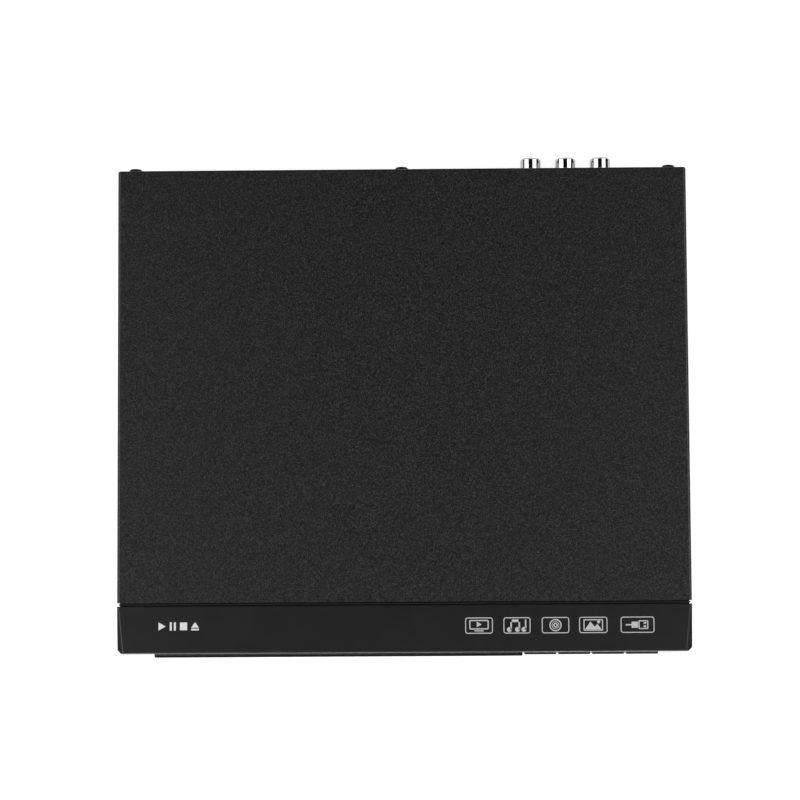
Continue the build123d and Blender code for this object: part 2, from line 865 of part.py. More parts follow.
# Tongues of the front data socket and of the video socket
hdmi_rear_y = panel_rear_y
hdmi_front_y = hdmi_rear_y - hdmi_depth
usb_tongue_top = usb_top - usb_shell - usb_tongue_margin
with BuildPart() as socket_tongues:
    block(
        usb_left + usb_shell, usb_right - usb_shell, front_board_y - usb_floor, front_board_y,
        usb_bottom + usb_shell, usb_top - usb_shell,
    )
    block(
        usb_left + usb_shell + usb_tongue_margin, usb_right - usb_shell - usb_tongue_margin,
        usb_mouth_y + usb_tongue_setback, front_board_y - usb_floor,
        usb_tongue_top - usb_tongue_height, usb_tongue_top,
    )
    block(
        hdmi_x - hdmi_width / 2 + hdmi_shell, hdmi_x + hdmi_width / 2 - hdmi_shell,
        hdmi_front_y + hdmi_shell, hdmi_front_y + hdmi_shell + hdmi_floor,
        hdmi_z - hdmi_height / 2 + hdmi_shell, hdmi_z + hdmi_height / 2 - hdmi_shell,
    )
    block(
        hdmi_x - hdmi_tongue_width / 2, hdmi_x + hdmi_tongue_width / 2,
        hdmi_front_y + hdmi_shell + hdmi_floor, hdmi_rear_y - hdmi_tongue_setback,
        hdmi_z - hdmi_tongue_height / 2, hdmi_z + hdmi_tongue_height / 2,
    )
socket_tongues.part.label = "socket_tongues"
export_step(socket_tongues.part, "parts/socket_tongues.step")

# Video socket shell on two feet
with BuildPart() as hdmi_socket:
    block(
        hdmi_x - hdmi_width / 2, hdmi_x + hdmi_width / 2, hdmi_front_y, hdmi_rear_y,
        hdmi_z - hdmi_height / 2, hdmi_z + hdmi_height / 2,
    )
    block(
        hdmi_x - hdmi_width / 2 + hdmi_shell, hdmi_x + hdmi_width / 2 - hdmi_shell,
        hdmi_front_y + hdmi_shell, hdmi_rear_y,
        hdmi_z - hdmi_height / 2 + hdmi_shell, hdmi_z + hdmi_height / 2 - hdmi_shell, Mode.SUBTRACT,
    )
    for side in (-1, 1):
        foot_x = hdmi_x + side * (hdmi_width / 2 - hdmi_foot / 2)
        block(
            foot_x - hdmi_foot / 2, foot_x + hdmi_foot / 2, hdmi_front_y, hdmi_front_y + 2 * hdmi_foot,
            board_top, hdmi_z - hdmi_height / 2,
        )
hdmi_socket.part.label = "hdmi_socket"
export_step(hdmi_socket.part, "parts/hdmi_socket.step")

# Block that holds the three round sockets, standing on the main board
jack_block_rear_y = panel_front_y
jack_block_front_y = jack_block_rear_y - jack_block_depth
jack_block_top = jack_z + jack_block_height / 2
jack_tip_y = rear_y + jack_proud
with BuildPart() as rca_housing:
    block(
        jack_centre_x - jack_block_width / 2, jack_centre_x + jack_block_width / 2,
        jack_block_front_y, jack_block_rear_y, board_top, jack_block_top,
    )
    for x in jack_places:
        bar(x, jack_z, jack_block_rear_y, panel_rear_y, jack_collar_radius)
        bar(x, jack_z, jack_block_front_y + sheet, panel_rear_y, jack_root_radius, Mode.SUBTRACT)
rca_housing.part.label = "rca_housing"
export_step(rca_housing.part, "parts/rca_housing.step")

# Metal barrels of the round sockets, with a chamfered mouth and a thinner root in the block
barrel_front_y = jack_block_front_y + sheet
with BuildPart() as rca_barrels:
    for x in jack_places:
        bar(x, jack_z, panel_rear_y, jack_tip_y, jack_radius)
    chamfer(rca_barrels.edges().filter_by(GeomType.CIRCLE).group_by(Axis.Y)[-1], barrel_edge)
    for x in jack_places:
        bar(x, jack_z, barrel_front_y, panel_rear_y, jack_root_radius)
        bar(x, jack_z, barrel_front_y, jack_tip_y, jack_bore_radius, Mode.SUBTRACT)
rca_barrels.part.label = "rca_barrels"
export_step(rca_barrels.part, "parts/rca_barrels.step")

# Moulded insulators inside the barrels
with BuildPart() as rca_insulators:
    for x in jack_places:
        bar(x, jack_z, barrel_front_y, jack_tip_y - insulator_setback, jack_bore_radius)
        bar(x, jack_z, barrel_front_y, jack_tip_y - insulator_setback, insulator_bore_radius, Mode.SUBTRACT)
rca_insulators.part.label = "rca_insulators"
export_step(rca_insulators.part, "parts/rca_insulators.step")

# Spring tubes that touch the centre pins
contact_setback = 2 * insulator_setback
with BuildPart() as rca_contacts:
    for x in jack_places:
        bar(x, jack_z, barrel_front_y, jack_tip_y - contact_setback, insulator_bore_radius)
        bar(
            x, jack_z, barrel_front_y, jack_tip_y - contact_setback,
            insulator_bore_radius - contact_wall, Mode.SUBTRACT,
        )
rca_contacts.part.label = "rca_contacts"
export_step(rca_contacts.part, "parts/rca_contacts.step")

# Mains inlet with a two-lobed neck through the panel
inlet_front_y = panel_front_y - inlet_body_depth
inlet_mouth_y = panel_rear_y + inlet_neck_proud
inlet_bottom = inlet_z - inlet_body_height / 2
with BuildPart() as mains_inlet:
    block(
        inlet_x - inlet_body_width / 2, inlet_x + inlet_body_width / 2, inlet_front_y, panel_front_y,
        board_top, inlet_bottom + inlet_body_height,
    )
    with BuildSketch(Plane.XZ.offset(-panel_front_y)):
        with Locations((inlet_x, inlet_z)):
            SlotOverall(2 * inlet_neck_half, 2 * inlet_neck_radius)
    extrude(amount=-(inlet_mouth_y - panel_front_y))
    with BuildSketch(Plane.XZ.offset(-inlet_mouth_y)):
        with Locations((inlet_x, inlet_z)):
            SlotOverall(2 * (inlet_neck_half - inlet_neck_wall), 2 * inlet_lobe_radius)
    extrude(amount=inlet_cavity_depth, mode=Mode.SUBTRACT)
mains_inlet.part.label = "mains_inlet"
export_step(mains_inlet.part, "parts/mains_inlet.step")

# Contact pins of the mains inlet
inlet_cavity_y = inlet_mouth_y - inlet_cavity_depth
with BuildPart() as inlet_pins:
    for side in (-1, 1):
        bar(
            inlet_x + side * inlet_lobe_pitch / 2, inlet_z, inlet_cavity_y,
            inlet_mouth_y - inlet_pin_setback, inlet_pin_radius,
        )
    chamfer(inlet_pins.edges().filter_by(GeomType.CIRCLE).group_by(Axis.Y)[-1], inlet_pin_radius / 2)
inlet_pins.part.label = "inlet_pins"
export_step(inlet_pins.part, "parts/inlet_pins.step")


# A board with a hole at each screw place
def board(x0, x1, y0, y1, places):
    block(x0, x1, y0, y1, board_low, board_top)
    for x, y in places:
        post(x, y, board_low, board_top, board_screw_radius, Mode.SUBTRACT)


# Main board, with a tongue behind the loader for the round sockets
with BuildPart() as main_board:
    block(tongue_left, main_board_right, power_board_front, main_board_rear, board_low, board_top)
    board(main_board_left, main_board_right, main_board_front, main_board_rear, main_board_places)
main_board.part.label = "main_board"
export_step(main_board.part, "parts/main_board.step")

# Power board
with BuildPart() as power_board:
    board(power_board_left, power_board_right, power_board_front, power_board_rear, power_board_places)
power_board.part.label = "power_board"
export_step(power_board.part, "parts/power_board.step")

# Chips on the main board: decoder, memory, store and motor driver
chip_x = (main_board_left + main_board_right) / 2
chip_reach = (main_board_right - main_board_left) / 2
chip_run = main_board_rear - main_board_front
with BuildPart() as board_chips:
    for share_x, share_y, wide, deep in chip_list:
        x, y = chip_x + share_x * chip_reach, main_board_front + share_y * chip_run
        block(x - wide / 2, x + wide / 2, y - deep / 2, y + deep / 2, board_top, board_top + chip_height)
board_chips.part.label = "board_chips"
export_step(board_chips.part, "parts/board_chips.step")

# Small capacitors on the main board
with BuildPart() as board_capacitors:
    for share_x, share_y in capacitor_list:
        x, y = chip_x + share_x * chip_reach, main_board_front + share_y * chip_run
        post(x, y, board_top, board_top + capacitor_height, capacitor_radius)
    fillet(board_capacitors.edges().group_by(Axis.Z)[-1], capacitor_edge)
board_capacitors.part.label = "board_capacitors"
export_step(board_capacitors.part, "parts/board_capacitors.step")

# Plug sockets on the main board for the ribbons and the harness
pickup_link_x = main_board_left + connector_depth / 2
pickup_link_y = main_board_front + ribbon_width
front_link_x = chip_x + front_link_share * chip_reach
harness_link_y = power_board_front + harness_link_step
connector_half = ribbon_width / 2 + connector_margin
with BuildPart() as board_connectors:
    block(
        pickup_link_x - connector_depth / 2, pickup_link_x + connector_depth / 2,
        pickup_link_y - connector_half, pickup_link_y + connector_half,
        board_top, board_top + connector_height,
    )
    block(
        front_link_x - connector_half, front_link_x + connector_half,
        main_board_front, main_board_front + connector_depth, board_top, board_top + connector_height,
    )
    block(
        tongue_left, tongue_left + connector_depth,
        harness_link_y - harness_link_width / 2, harness_link_y + harness_link_width / 2,
        board_top, board_top + connector_height,
    )
    block(
        power_board_right - connector_depth, power_board_right,
        harness_link_y - harness_link_width / 2, harness_link_y + harness_link_width / 2,
        board_top, board_top + connector_height,
    )
board_connectors.part.label = "board_connectors"
export_step(board_connectors.part, "parts/board_connectors.step")

# Harness of four wires between the power board and the main board
wire_pitch = harness_link_width / wire_count
wire_z = board_top + connector_height / 2
with BuildPart() as power_harness:
    for n in range(wire_count):
        wire_y = harness_link_y + (n - (wire_count - 1) / 2) * wire_pitch
        cross_bar(wire_y, wire_z, power_board_right, tongue_left, wire_radius)
power_harness.part.label = "power_harness"
export_step(power_harness.part, "parts/power_harness.step")

# Ribbon that drops from the main board and runs over the pan to the pickup
ribbon_z = floor_z + slip_gap
ribbon_link_z = board_top + ribbon_link_height
ribbon_drop_x = main_board_left - ribbon_reach
ribbon_end_x = loader_x + cam_wall_half_width + connector_depth
with BuildPart() as pickup_ribbon:
    block(
        ribbon_drop_x, main_board_left, pickup_link_y - ribbon_width / 2,
        pickup_link_y + ribbon_width / 2, ribbon_link_z, ribbon_link_z + ribbon_thickness,
    )
    block(
        ribbon_drop_x, ribbon_drop_x + ribbon_thickness, pickup_link_y - ribbon_width / 2,
        pickup_link_y + ribbon_width / 2, ribbon_z, ribbon_link_z,
    )
    block(
        ribbon_end_x, ribbon_drop_x, pickup_link_y - ribbon_width / 2,
        pickup_link_y + ribbon_width / 2, ribbon_z, ribbon_z + ribbon_thickness,
    )
pickup_ribbon.part.label = "pickup_ribbon"
export_step(pickup_ribbon.part, "parts/pickup_ribbon.step")

# Ribbon from the main board to the front board
with BuildPart() as front_ribbon:
    block(
        front_link_x - ribbon_width / 2, front_link_x + ribbon_width / 2,
        front_board_rear_y, main_board_front, ribbon_link_z, ribbon_link_z + ribbon_thickness,
    )
front_ribbon.part.label = "front_ribbon"
export_step(front_ribbon.part, "parts/front_ribbon.step")

# Even gaps along the power board between the inlet, its parts and the harness socket
power_y = (power_board_front + power_board_rear) / 2
power_strip_left = inlet_x + inlet_body_width / 2
power_strip = power_board_right - connector_depth - power_strip_left
heatsink_width = fin_reach + heatsink_back + switch_body_depth
strip_halves = fuse_radius + store_radius + transformer_half + filter_count * filter_radius
strip_gap = (power_strip - 2 * strip_halves - heatsink_width) / (filter_count + strip_single_parts + 1)
fuse_x = power_strip_left + strip_gap + fuse_radius
heatsink_x = fuse_x + fuse_radius + strip_gap + fin_reach
store_x = heatsink_x - fin_reach + heatsink_width + strip_gap + store_radius
transformer_x = store_x + store_radius + strip_gap + transformer_half
filter_pitch = strip_gap + 2 * filter_radius
filter_x = transformer_x + transformer_half + strip_gap + filter_radius

# Transformer: a foot, a wound bobbin and a core round it
core_low_z = board_top + transformer_foot
core_top_z = board_top + transformer_height
with BuildPart() as transformer:
    block(
        transformer_x - transformer_half, transformer_x + transformer_half,
        power_y - core_reach, power_y + core_reach, board_top, core_low_z,
    )
    block(
        transformer_x - transformer_half + core_inset, transformer_x + transformer_half - core_inset,
        power_y - core_reach / 2, power_y + core_reach / 2, core_low_z, core_top_z,
    )
    block(
        transformer_x - winding_half, transformer_x + winding_half,
        power_y - core_reach + core_inset, power_y + core_reach - core_inset,
        core_low_z, core_top_z - 2 * core_inset,
    )
transformer.part.label = "transformer"
export_step(transformer.part, "parts/transformer.step")

# Large capacitors on the power board
with BuildPart() as power_capacitors:
    post(store_x, power_y, board_top, board_top + store_height, store_radius)
    for n in range(filter_count):
        post(filter_x + n * filter_pitch, power_y, board_top, board_top + filter_height, filter_radius)
    fillet(power_capacitors.edges().filter_by(GeomType.CIRCLE).group_by(Axis.Z)[-1], capacitor_edge)
power_capacitors.part.label = "power_capacitors"
export_step(power_capacitors.part, "parts/power_capacitors.step")

# Mains fuse on its clips
fuse_z = board_top + fuse_lift
with BuildPart() as mains_fuse:
    bar(fuse_x, fuse_z, power_y - fuse_half_length, power_y + fuse_half_length, fuse_radius)
    for side in (-1, 1):
        clip_y = power_y + side * (fuse_half_length - fuse_clip_inset)
        block(
            fuse_x - fuse_clip_half, fuse_x + fuse_clip_half,
            clip_y - fuse_clip_half, clip_y + fuse_clip_half, board_top, fuse_z,
        )
mains_fuse.part.label = "mains_fuse"
export_step(mains_fuse.part, "parts/mains_fuse.step")

# Finned heatsink of the power switch
heatsink_top = board_top + heatsink_height
fin_pitch = (2 * heatsink_half_length - fin_thickness) / (fin_count - 1)
with BuildPart() as power_heatsink:
    block(
        heatsink_x, heatsink_x + heatsink_back,
        power_y - heatsink_half_length, power_y + heatsink_half_length, board_top, heatsink_top,
    )
    for n in range(fin_count):
        fin_y = power_y - heatsink_half_length + n * fin_pitch
        block(heatsink_x - fin_reach, heatsink_x, fin_y, fin_y + fin_thickness, board_top, heatsink_top)
    block(
        heatsink_x + heatsink_back, heatsink_x + heatsink_back + switch_body_depth,
        power_y - switch_body_half, power_y + switch_body_half, board_top, heatsink_top - heatsink_back,
    )
power_heatsink.part.label = "power_heatsink"
export_step(power_heatsink.part, "parts/power_heatsink.step")


# Points of one gear outline with straight-sided copies of involute flanks
def gear_points(centre_x, centre_y, teeth, first_tooth):
    pitch_r = gear_module * teeth / 2
    base_r = pitch_r * cos(pressure_angle)
    tip_r = pitch_r + addendum * gear_module
    root_r = pitch_r - dedendum * gear_module
    flank_start = max(base_r, root_r + gear_module / 10)
    half_tooth = tooth_share * pi / teeth
    pitch_roll = tan(pressure_angle) - pressure_angle
    flank = []
    for step in range(flank_steps + 1):
        r = flank_start + (tip_r - flank_start) * step / flank_steps
        tilt = atan(((r / base_r) ** 2 - 1) ** 0.5) if r > base_r else 0
        flank.append((r, half_tooth + pitch_roll - (tan(tilt) - tilt)))
    points = []
    for n in range(teeth):
        middle = first_tooth + 2 * pi * n / teeth
        tooth = [(root_r, -flank[0][1])] + [(r, -half) for r, half in flank]
        tooth += [(r, half) for r, half in reversed(flank)] + [(root_r, flank[0][1])]
        for r, turn in tooth:
            points.append((centre_x + r * cos(middle + turn), centre_y + r * sin(middle + turn)))
    return points


# A spur gear between two levels
def gear(centre_x, centre_y, z0, z1, teeth, first_tooth):
    with BuildSketch(Plane.XY.offset(z0)) as outline:
        with BuildLine():
            Polyline(*gear_points(centre_x, centre_y, teeth, first_tooth), close=True)
        make_face()
    extrude(outline.sketch, amount=z1 - z0)


# Places of the tray drive
rack_x = loader_x - tray_width / 2 + rack_inset
tray_gear_x = rack_x + gear_module * tray_gear_small_teeth / 2
belt_gear_x = tray_gear_x + gear_module * (tray_gear_large_teeth + pinion_teeth) / 2
motor_x = belt_gear_x + belt_length_between
gear_low_top = gear_low_z + gear_low_thickness
rack_bottom = tray_bottom - rack_drop
rack_gear_top = tray_floor_z - slip_gap
pulley_top = pulley_z + pulley_thickness

# Loader frame: base with a well for the traverse, side walls with ledges, hooks, gear posts and ears
frame_left = loader_x - frame_half
frame_right = loader_x + frame_half
ledge_top = tray_bottom - slip_gap
cam_wall_front = well_front_y - cam_wall_thickness
ear_inner = lift_half_width + ear_gap
ear_top = pivot_z + lift_pin_radius + sheet
ear_bore = lift_pin_radius + running_gap
end_wall_top = tray_bottom - 2 * slip_gap
with BuildPart() as loader_frame:
    block(frame_left, frame_right, frame_front_y, frame_rear_y, frame_bottom, frame_base_top)
    block(
        loader_x - well_half_width, loader_x + well_half_width, well_front_y, well_rear_y,
        frame_bottom, frame_base_top, Mode.SUBTRACT,
    )
    for side in (-1, 1):
        wall_faces = sorted((loader_x + side * frame_half, loader_x + side * (frame_half - frame_side_wall)))
        block(*wall_faces, frame_front_y, frame_rear_y, frame_bottom, bridge_z)
        ledge_faces = sorted(
            (loader_x + side * frame_half, loader_x + side * (frame_half - frame_side_wall - ledge_width))
        )
        block(*ledge_faces, frame_front_y, frame_rear_y, ledge_top - ledge_thickness, ledge_top)
        hook_faces = sorted(
            (loader_x + side * frame_half, loader_x + side * (tray_width / 2 - hook_reach))
        )
        for hook_y in (frame_front_y, well_front_y, frame_rear_y - hook_length):
            block(*hook_faces, hook_y, hook_y + hook_length, tray_top + slip_gap, bridge_z)
        ear_faces = sorted((loader_x + side * ear_inner, loader_x + side * (ear_inner + ear_thickness)))
        block(
            *ear_faces, pivot_y - ear_half_length, pivot_y + ear_half_length, frame_base_top, ear_top
        )
        cross_bar(pivot_y, pivot_z, *ear_faces, ear_bore, Mode.SUBTRACT)
    block(
        frame_left, frame_right, frame_rear_y - frame_end_wall, frame_rear_y, frame_bottom, end_wall_top
    )
    block(
        loader_x - cam_wall_half_width, loader_x + cam_wall_half_width,
        cam_wall_front, well_front_y, frame_base_top, end_wall_top - cam_wall_thickness,
    )
    for x, top in ((tray_gear_x, rack_gear_top), (belt_gear_x, pulley_top)):
        post(x, gear_y, frame_base_top, gear_seat_top, gear_seat_radius)
        post(x, gear_y, gear_seat_top, top, gear_post_radius)
    for x, y in frame_places:
        post(x, y, frame_bottom, frame_base_top, board_screw_radius, Mode.SUBTRACT)
loader_frame.part.label = "loader_frame"
export_step(loader_frame.part, "parts/loader_frame.step")

# Places of the clamp bridge's screws
bridge_screw_x = frame_half - frame_side_wall / 2
bridge_screw_y = bridge_width / 2 - bridge_screw_inset
bridge_top = bridge_z + bridge_thickness
bridge_places = [
    (loader_x + side_x * bridge_screw_x, disc_y + side_y * bridge_screw_y)
    for side_x in (-1, 1)
    for side_y in (-1, 1)
]

# Screws inside the casing: boards, loader frame and clamp bridge
with BuildPart() as inner_screws:
    for x, y in main_board_places + power_board_places:
        post(x, y, board_top, board_top + board_screw_head_height, board_screw_head)
        post(x, y, floor_z, board_top, board_screw_radius)
    for x, z in board_boss_places:
        bar(x, z, front_board_rear_y, front_board_rear_y + board_screw_head_height, board_screw_head)
        bar(x, z, front_board_y - boss_screw_depth, front_board_rear_y, board_screw_radius)
    for x, y in frame_places:
        post(x, y, frame_base_top, frame_base_top + board_screw_head_height, board_screw_head)
        post(x, y, floor_z, frame_base_top, board_screw_radius)
    for x, y in bridge_places:
        post(x, y, bridge_top, bridge_top + bridge_screw_head_height, 2 * bridge_screw_radius)
        post(x, y, bridge_z, bridge_top, bridge_screw_radius)
inner_screws.part.label = "inner_screws"
export_step(inner_screws.part, "parts/inner_screws.step")

# Clamp bridge: pressed steel strap with two upright flanges and a round hole
with BuildPart() as clamp_bridge:
    rounded_plate(
        frame_left, frame_right, disc_y - bridge_width / 2, disc_y + bridge_width / 2,
        bridge_z, bridge_top, bridge_corner,
    )
    for side in (-1, 1):
        flange_y = sorted(
            (disc_y + side * bridge_width / 2, disc_y + side * (bridge_width / 2 - bridge_thickness))
        )
        block(
            loader_x - tray_width / 2, loader_x + tray_width / 2, *flange_y,
            bridge_top, bridge_top + bridge_flange_height,
        )
    post(loader_x, disc_y, bridge_z, bridge_top, bridge_hole_radius, Mode.SUBTRACT)
    for x, y in bridge_places:
        post(x, y, bridge_z, bridge_top, bridge_screw_radius, Mode.SUBTRACT)
clamp_bridge.part.label = "clamp_bridge"
export_step(clamp_bridge.part, "parts/clamp_bridge.step")

# Clamp puck that hangs in the bridge: flange, dome and a recess for the hub
puck_bottom = bridge_z + slip_gap - puck_drop
puck_flange_z = bridge_top + slip_gap
puck_flange_top = puck_flange_z + puck_flange_thickness
with BuildPart() as clamp_puck:
    post(loader_x, disc_y, puck_bottom, puck_flange_z, puck_radius)
    post(loader_x, disc_y, puck_flange_z, puck_flange_top, puck_flange_radius)
    post(loader_x, disc_y, puck_flange_top, puck_flange_top + puck_dome_height, puck_dome_radius)
    fillet(clamp_puck.edges().group_by(Axis.Z)[-1], puck_dome_height / 2)
    post(loader_x, disc_y, puck_bottom, puck_bottom + puck_recess_depth, puck_recess_radius, Mode.SUBTRACT)
clamp_puck.part.label = "clamp_puck"
export_step(clamp_puck.part, "parts/clamp_puck.step")

# Loading motor: can with a neck under its pulley
with BuildPart() as loading_motor:
    post(motor_x, gear_y, frame_base_top, motor_top, motor_radius)
    fillet(loading_motor.edges().group_by(Axis.Z)[-1], can_edge)
    post(motor_x, gear_y, motor_top, pulley_z - slip_gap, 2 * motor_shaft_radius)
loading_motor.part.label = "loading_motor"
export_step(loading_motor.part, "parts/loading_motor.step")


# A round wheel with a groove for the belt
def pulley_wheel(x, z0, z1, radius):
    middle = (z0 + z1) / 2
    post(x, gear_y, z0, z1, radius)
    post(x, gear_y, middle - pulley_groove, middle + pulley_groove, radius, Mode.SUBTRACT)
    post(x, gear_y, middle - pulley_groove, middle + pulley_groove, radius - pulley_groove)


# Motor pulley
with BuildPart() as motor_pulley:
    pulley_wheel(motor_x, pulley_z, pulley_top, motor_pulley_radius)
motor_pulley.part.label = "motor_pulley"
export_step(motor_pulley.part, "parts/motor_pulley.step")

# Belt gear: pulley wheel above a pinion
post_bore = gear_post_radius + running_gap
half_pitch = pi / pinion_teeth
with BuildPart() as belt_gear:
    gear(belt_gear_x, gear_y, gear_low_z, gear_low_top, pinion_teeth, half_pitch)
    post(belt_gear_x, gear_y, gear_low_top, pulley_z, gear_module * pinion_teeth / 2 - dedendum)
    pulley_wheel(belt_gear_x, pulley_z, pulley_top, pulley_radius)
    post(belt_gear_x, gear_y, gear_low_z, pulley_top, post_bore, Mode.SUBTRACT)
belt_gear.part.label = "belt_gear"
export_step(belt_gear.part, "parts/belt_gear.step")

# Tray gear: large gear below, small gear that drives the rack above
small_root = gear_module * tray_gear_small_teeth / 2 - dedendum
with BuildPart() as tray_gear:
    gear(tray_gear_x, gear_y, gear_low_z, gear_low_top, tray_gear_large_teeth, 0)
    post(tray_gear_x, gear_y, gear_low_top, rack_bottom, small_root)
    gear(tray_gear_x, gear_y, rack_bottom, rack_gear_top, tray_gear_small_teeth, 0)
    post(tray_gear_x, gear_y, gear_low_z, rack_gear_top, post_bore, Mode.SUBTRACT)
tray_gear.part.label = "tray_gear"
export_step(tray_gear.part, "parts/tray_gear.step")

# Drive belt: square-section loop round both pulleys
belt_z = (pulley_z + pulley_top) / 2
belt_in_motor = motor_pulley_radius - pulley_groove + slip_gap / 2
belt_in_gear = pulley_radius - pulley_groove + slip_gap / 2
belt_lean = asin((belt_in_gear - belt_in_motor) / belt_length_between)


# A closed band round both pulleys at a distance from the pulley floors
def belt_band(extra, mode=Mode.ADD):
    gear_r = belt_in_gear + extra
    motor_r = belt_in_motor + extra
    across, along = cos(belt_lean), sin(belt_lean)
    gear_up = (belt_gear_x + gear_r * along, gear_y + gear_r * across)
    gear_down = (belt_gear_x + gear_r * along, gear_y - gear_r * across)
    motor_up = (motor_x + motor_r * along, gear_y + motor_r * across)
    motor_down = (motor_x + motor_r * along, gear_y - motor_r * across)
    with BuildSketch(Plane.XY.offset(belt_z - belt_half)) as band:
        with BuildLine():
            Line(gear_up, motor_up)
            ThreePointArc(motor_up, (motor_x + motor_r, gear_y), motor_down)
            Line(motor_down, gear_down)
            ThreePointArc(gear_down, (belt_gear_x - gear_r, gear_y), gear_up)
        make_face()
    extrude(band.sketch, amount=2 * belt_half, mode=mode)


with BuildPart() as drive_belt:
    belt_band(2 * belt_half)
    belt_band(0, Mode.SUBTRACT)
drive_belt.part.label = "drive_belt"
export_step(drive_belt.part, "parts/drive_belt.step")

# Disc tray: pocket for large and small discs, slot for the pickup, runners and rack
tray_left = loader_x - tray_width / 2
tray_right = loader_x + tray_width / 2
rack_pitch = pi * gear_module
rack_root_x = rack_x - dedendum * gear_module
rack_tip_x = rack_x + addendum * gear_module
rack_teeth_behind = int((tray_rear_y - gear_y) / rack_pitch)
rack_teeth_ahead = int((gear_y - tray_front_y) / rack_pitch)
tooth_half = tooth_share * rack_pitch / 2
slope = tan(pressure_angle)
tip_half = tooth_half - addendum * gear_module * slope
root_half = tooth_half + dedendum * gear_module * slope
with BuildPart() as disc_tray:
    rounded_plate(tray_left, tray_right, tray_front_y, tray_rear_y, tray_floor_z, tray_top, tray_corner)
    with BuildSketch(Plane.XY.offset(pocket_z)):
        with Locations((loader_x, disc_y)):
            Circle(pocket_radius)
    extrude(amount=pocket_depth, mode=Mode.SUBTRACT)
    with BuildSketch(Plane.XY.offset(pocket_z - small_pocket_extra)):
        with Locations((loader_x, disc_y)):
            Circle(small_pocket_radius)
        with Locations((loader_x - pocket_radius, disc_y), (loader_x + pocket_radius, disc_y)):
            Circle(finger_radius)
        with Locations((loader_x, disc_y)):
            Rectangle(tray_width - 2 * runner_width, 4 * pocket_radius, mode=Mode.INTERSECT)
    extrude(amount=small_pocket_extra + pocket_depth, mode=Mode.SUBTRACT)
    post(loader_x, disc_y, tray_floor_z, tray_top, tray_slot_radius, Mode.SUBTRACT)
    block(
        loader_x - tray_slot_radius, loader_x + tray_slot_radius, disc_y, tray_rear_y - tray_slot_rear,
        tray_floor_z, tray_top, Mode.SUBTRACT,
    )
    for side in (-1, 1):
        runner_faces = sorted(
            (loader_x + side * tray_width / 2, loader_x + side * (tray_width / 2 - runner_width))
        )
        block(*runner_faces, tray_front_y, tray_rear_y, tray_bottom, tray_floor_z)
    block(rack_root_x - rack_width, rack_root_x, tray_front_y, tray_rear_y, rack_bottom, tray_floor_z)
    with BuildSketch(Plane.XY.offset(rack_bottom)):
        for n in range(-rack_teeth_ahead, rack_teeth_behind):
            tooth_y = gear_y + (n + 0.5) * rack_pitch
            with BuildLine():
                Polyline(
                    (rack_root_x - rack_width / 2, tooth_y - root_half),
                    (rack_root_x, tooth_y - root_half),
                    (rack_tip_x, tooth_y - tip_half),
                    (rack_tip_x, tooth_y + tip_half),
                    (rack_root_x, tooth_y + root_half),
                    (rack_root_x - rack_width / 2, tooth_y + root_half),
                    close=True,
                )
            make_face()
    extrude(amount=tray_floor_z - rack_bottom)
disc_tray.part.label = "disc_tray"
export_step(disc_tray.part, "parts/disc_tray.step")

# Lift frame: ring on two rear pins, with a cam pin in front and four damper posts
damper_places = [(side * damper_u, v) for side in (-1, 1) for v in (damper_front_v, damper_rear_v)]
cam_pin_v = lift_front - cam_pin_reach
with BuildPart(lift_plane) as lift_frame:
    block(-lift_half_width, lift_half_width, lift_front, lift_rear, lift_low, lift_high)
    block(
        -lift_inner_half, lift_inner_half, lift_inner_front, lift_inner_rear, lift_low, lift_high,
        Mode.SUBTRACT,
    )
    block(
        -cam_lug, cam_lug, lift_front, lift_inner_front, lift_high, cam_pin_w + cam_pin_radius + sheet,
    )
    bar(0, cam_pin_w, cam_pin_v, lift_front, cam_pin_radius)
    for side in (-1, 1):
        hub_faces = sorted((side * lift_half_width, side * (lift_half_width - ear_thickness)))
        pin_faces = sorted((side * lift_half_width, side * (lift_half_width + lift_pin_reach)))
        block(*hub_faces, -lift_rear, lift_rear, lift_low, lift_pin_radius + slip_gap)
        cross_bar(0, 0, *pin_faces, lift_pin_radius)
    for u, v in damper_places:
        post(u, v, lift_high, post_top, damper_post_radius)
lift_frame.part.label = "lift_frame"
export_step(lift_frame.part, "parts/lift_frame.step")

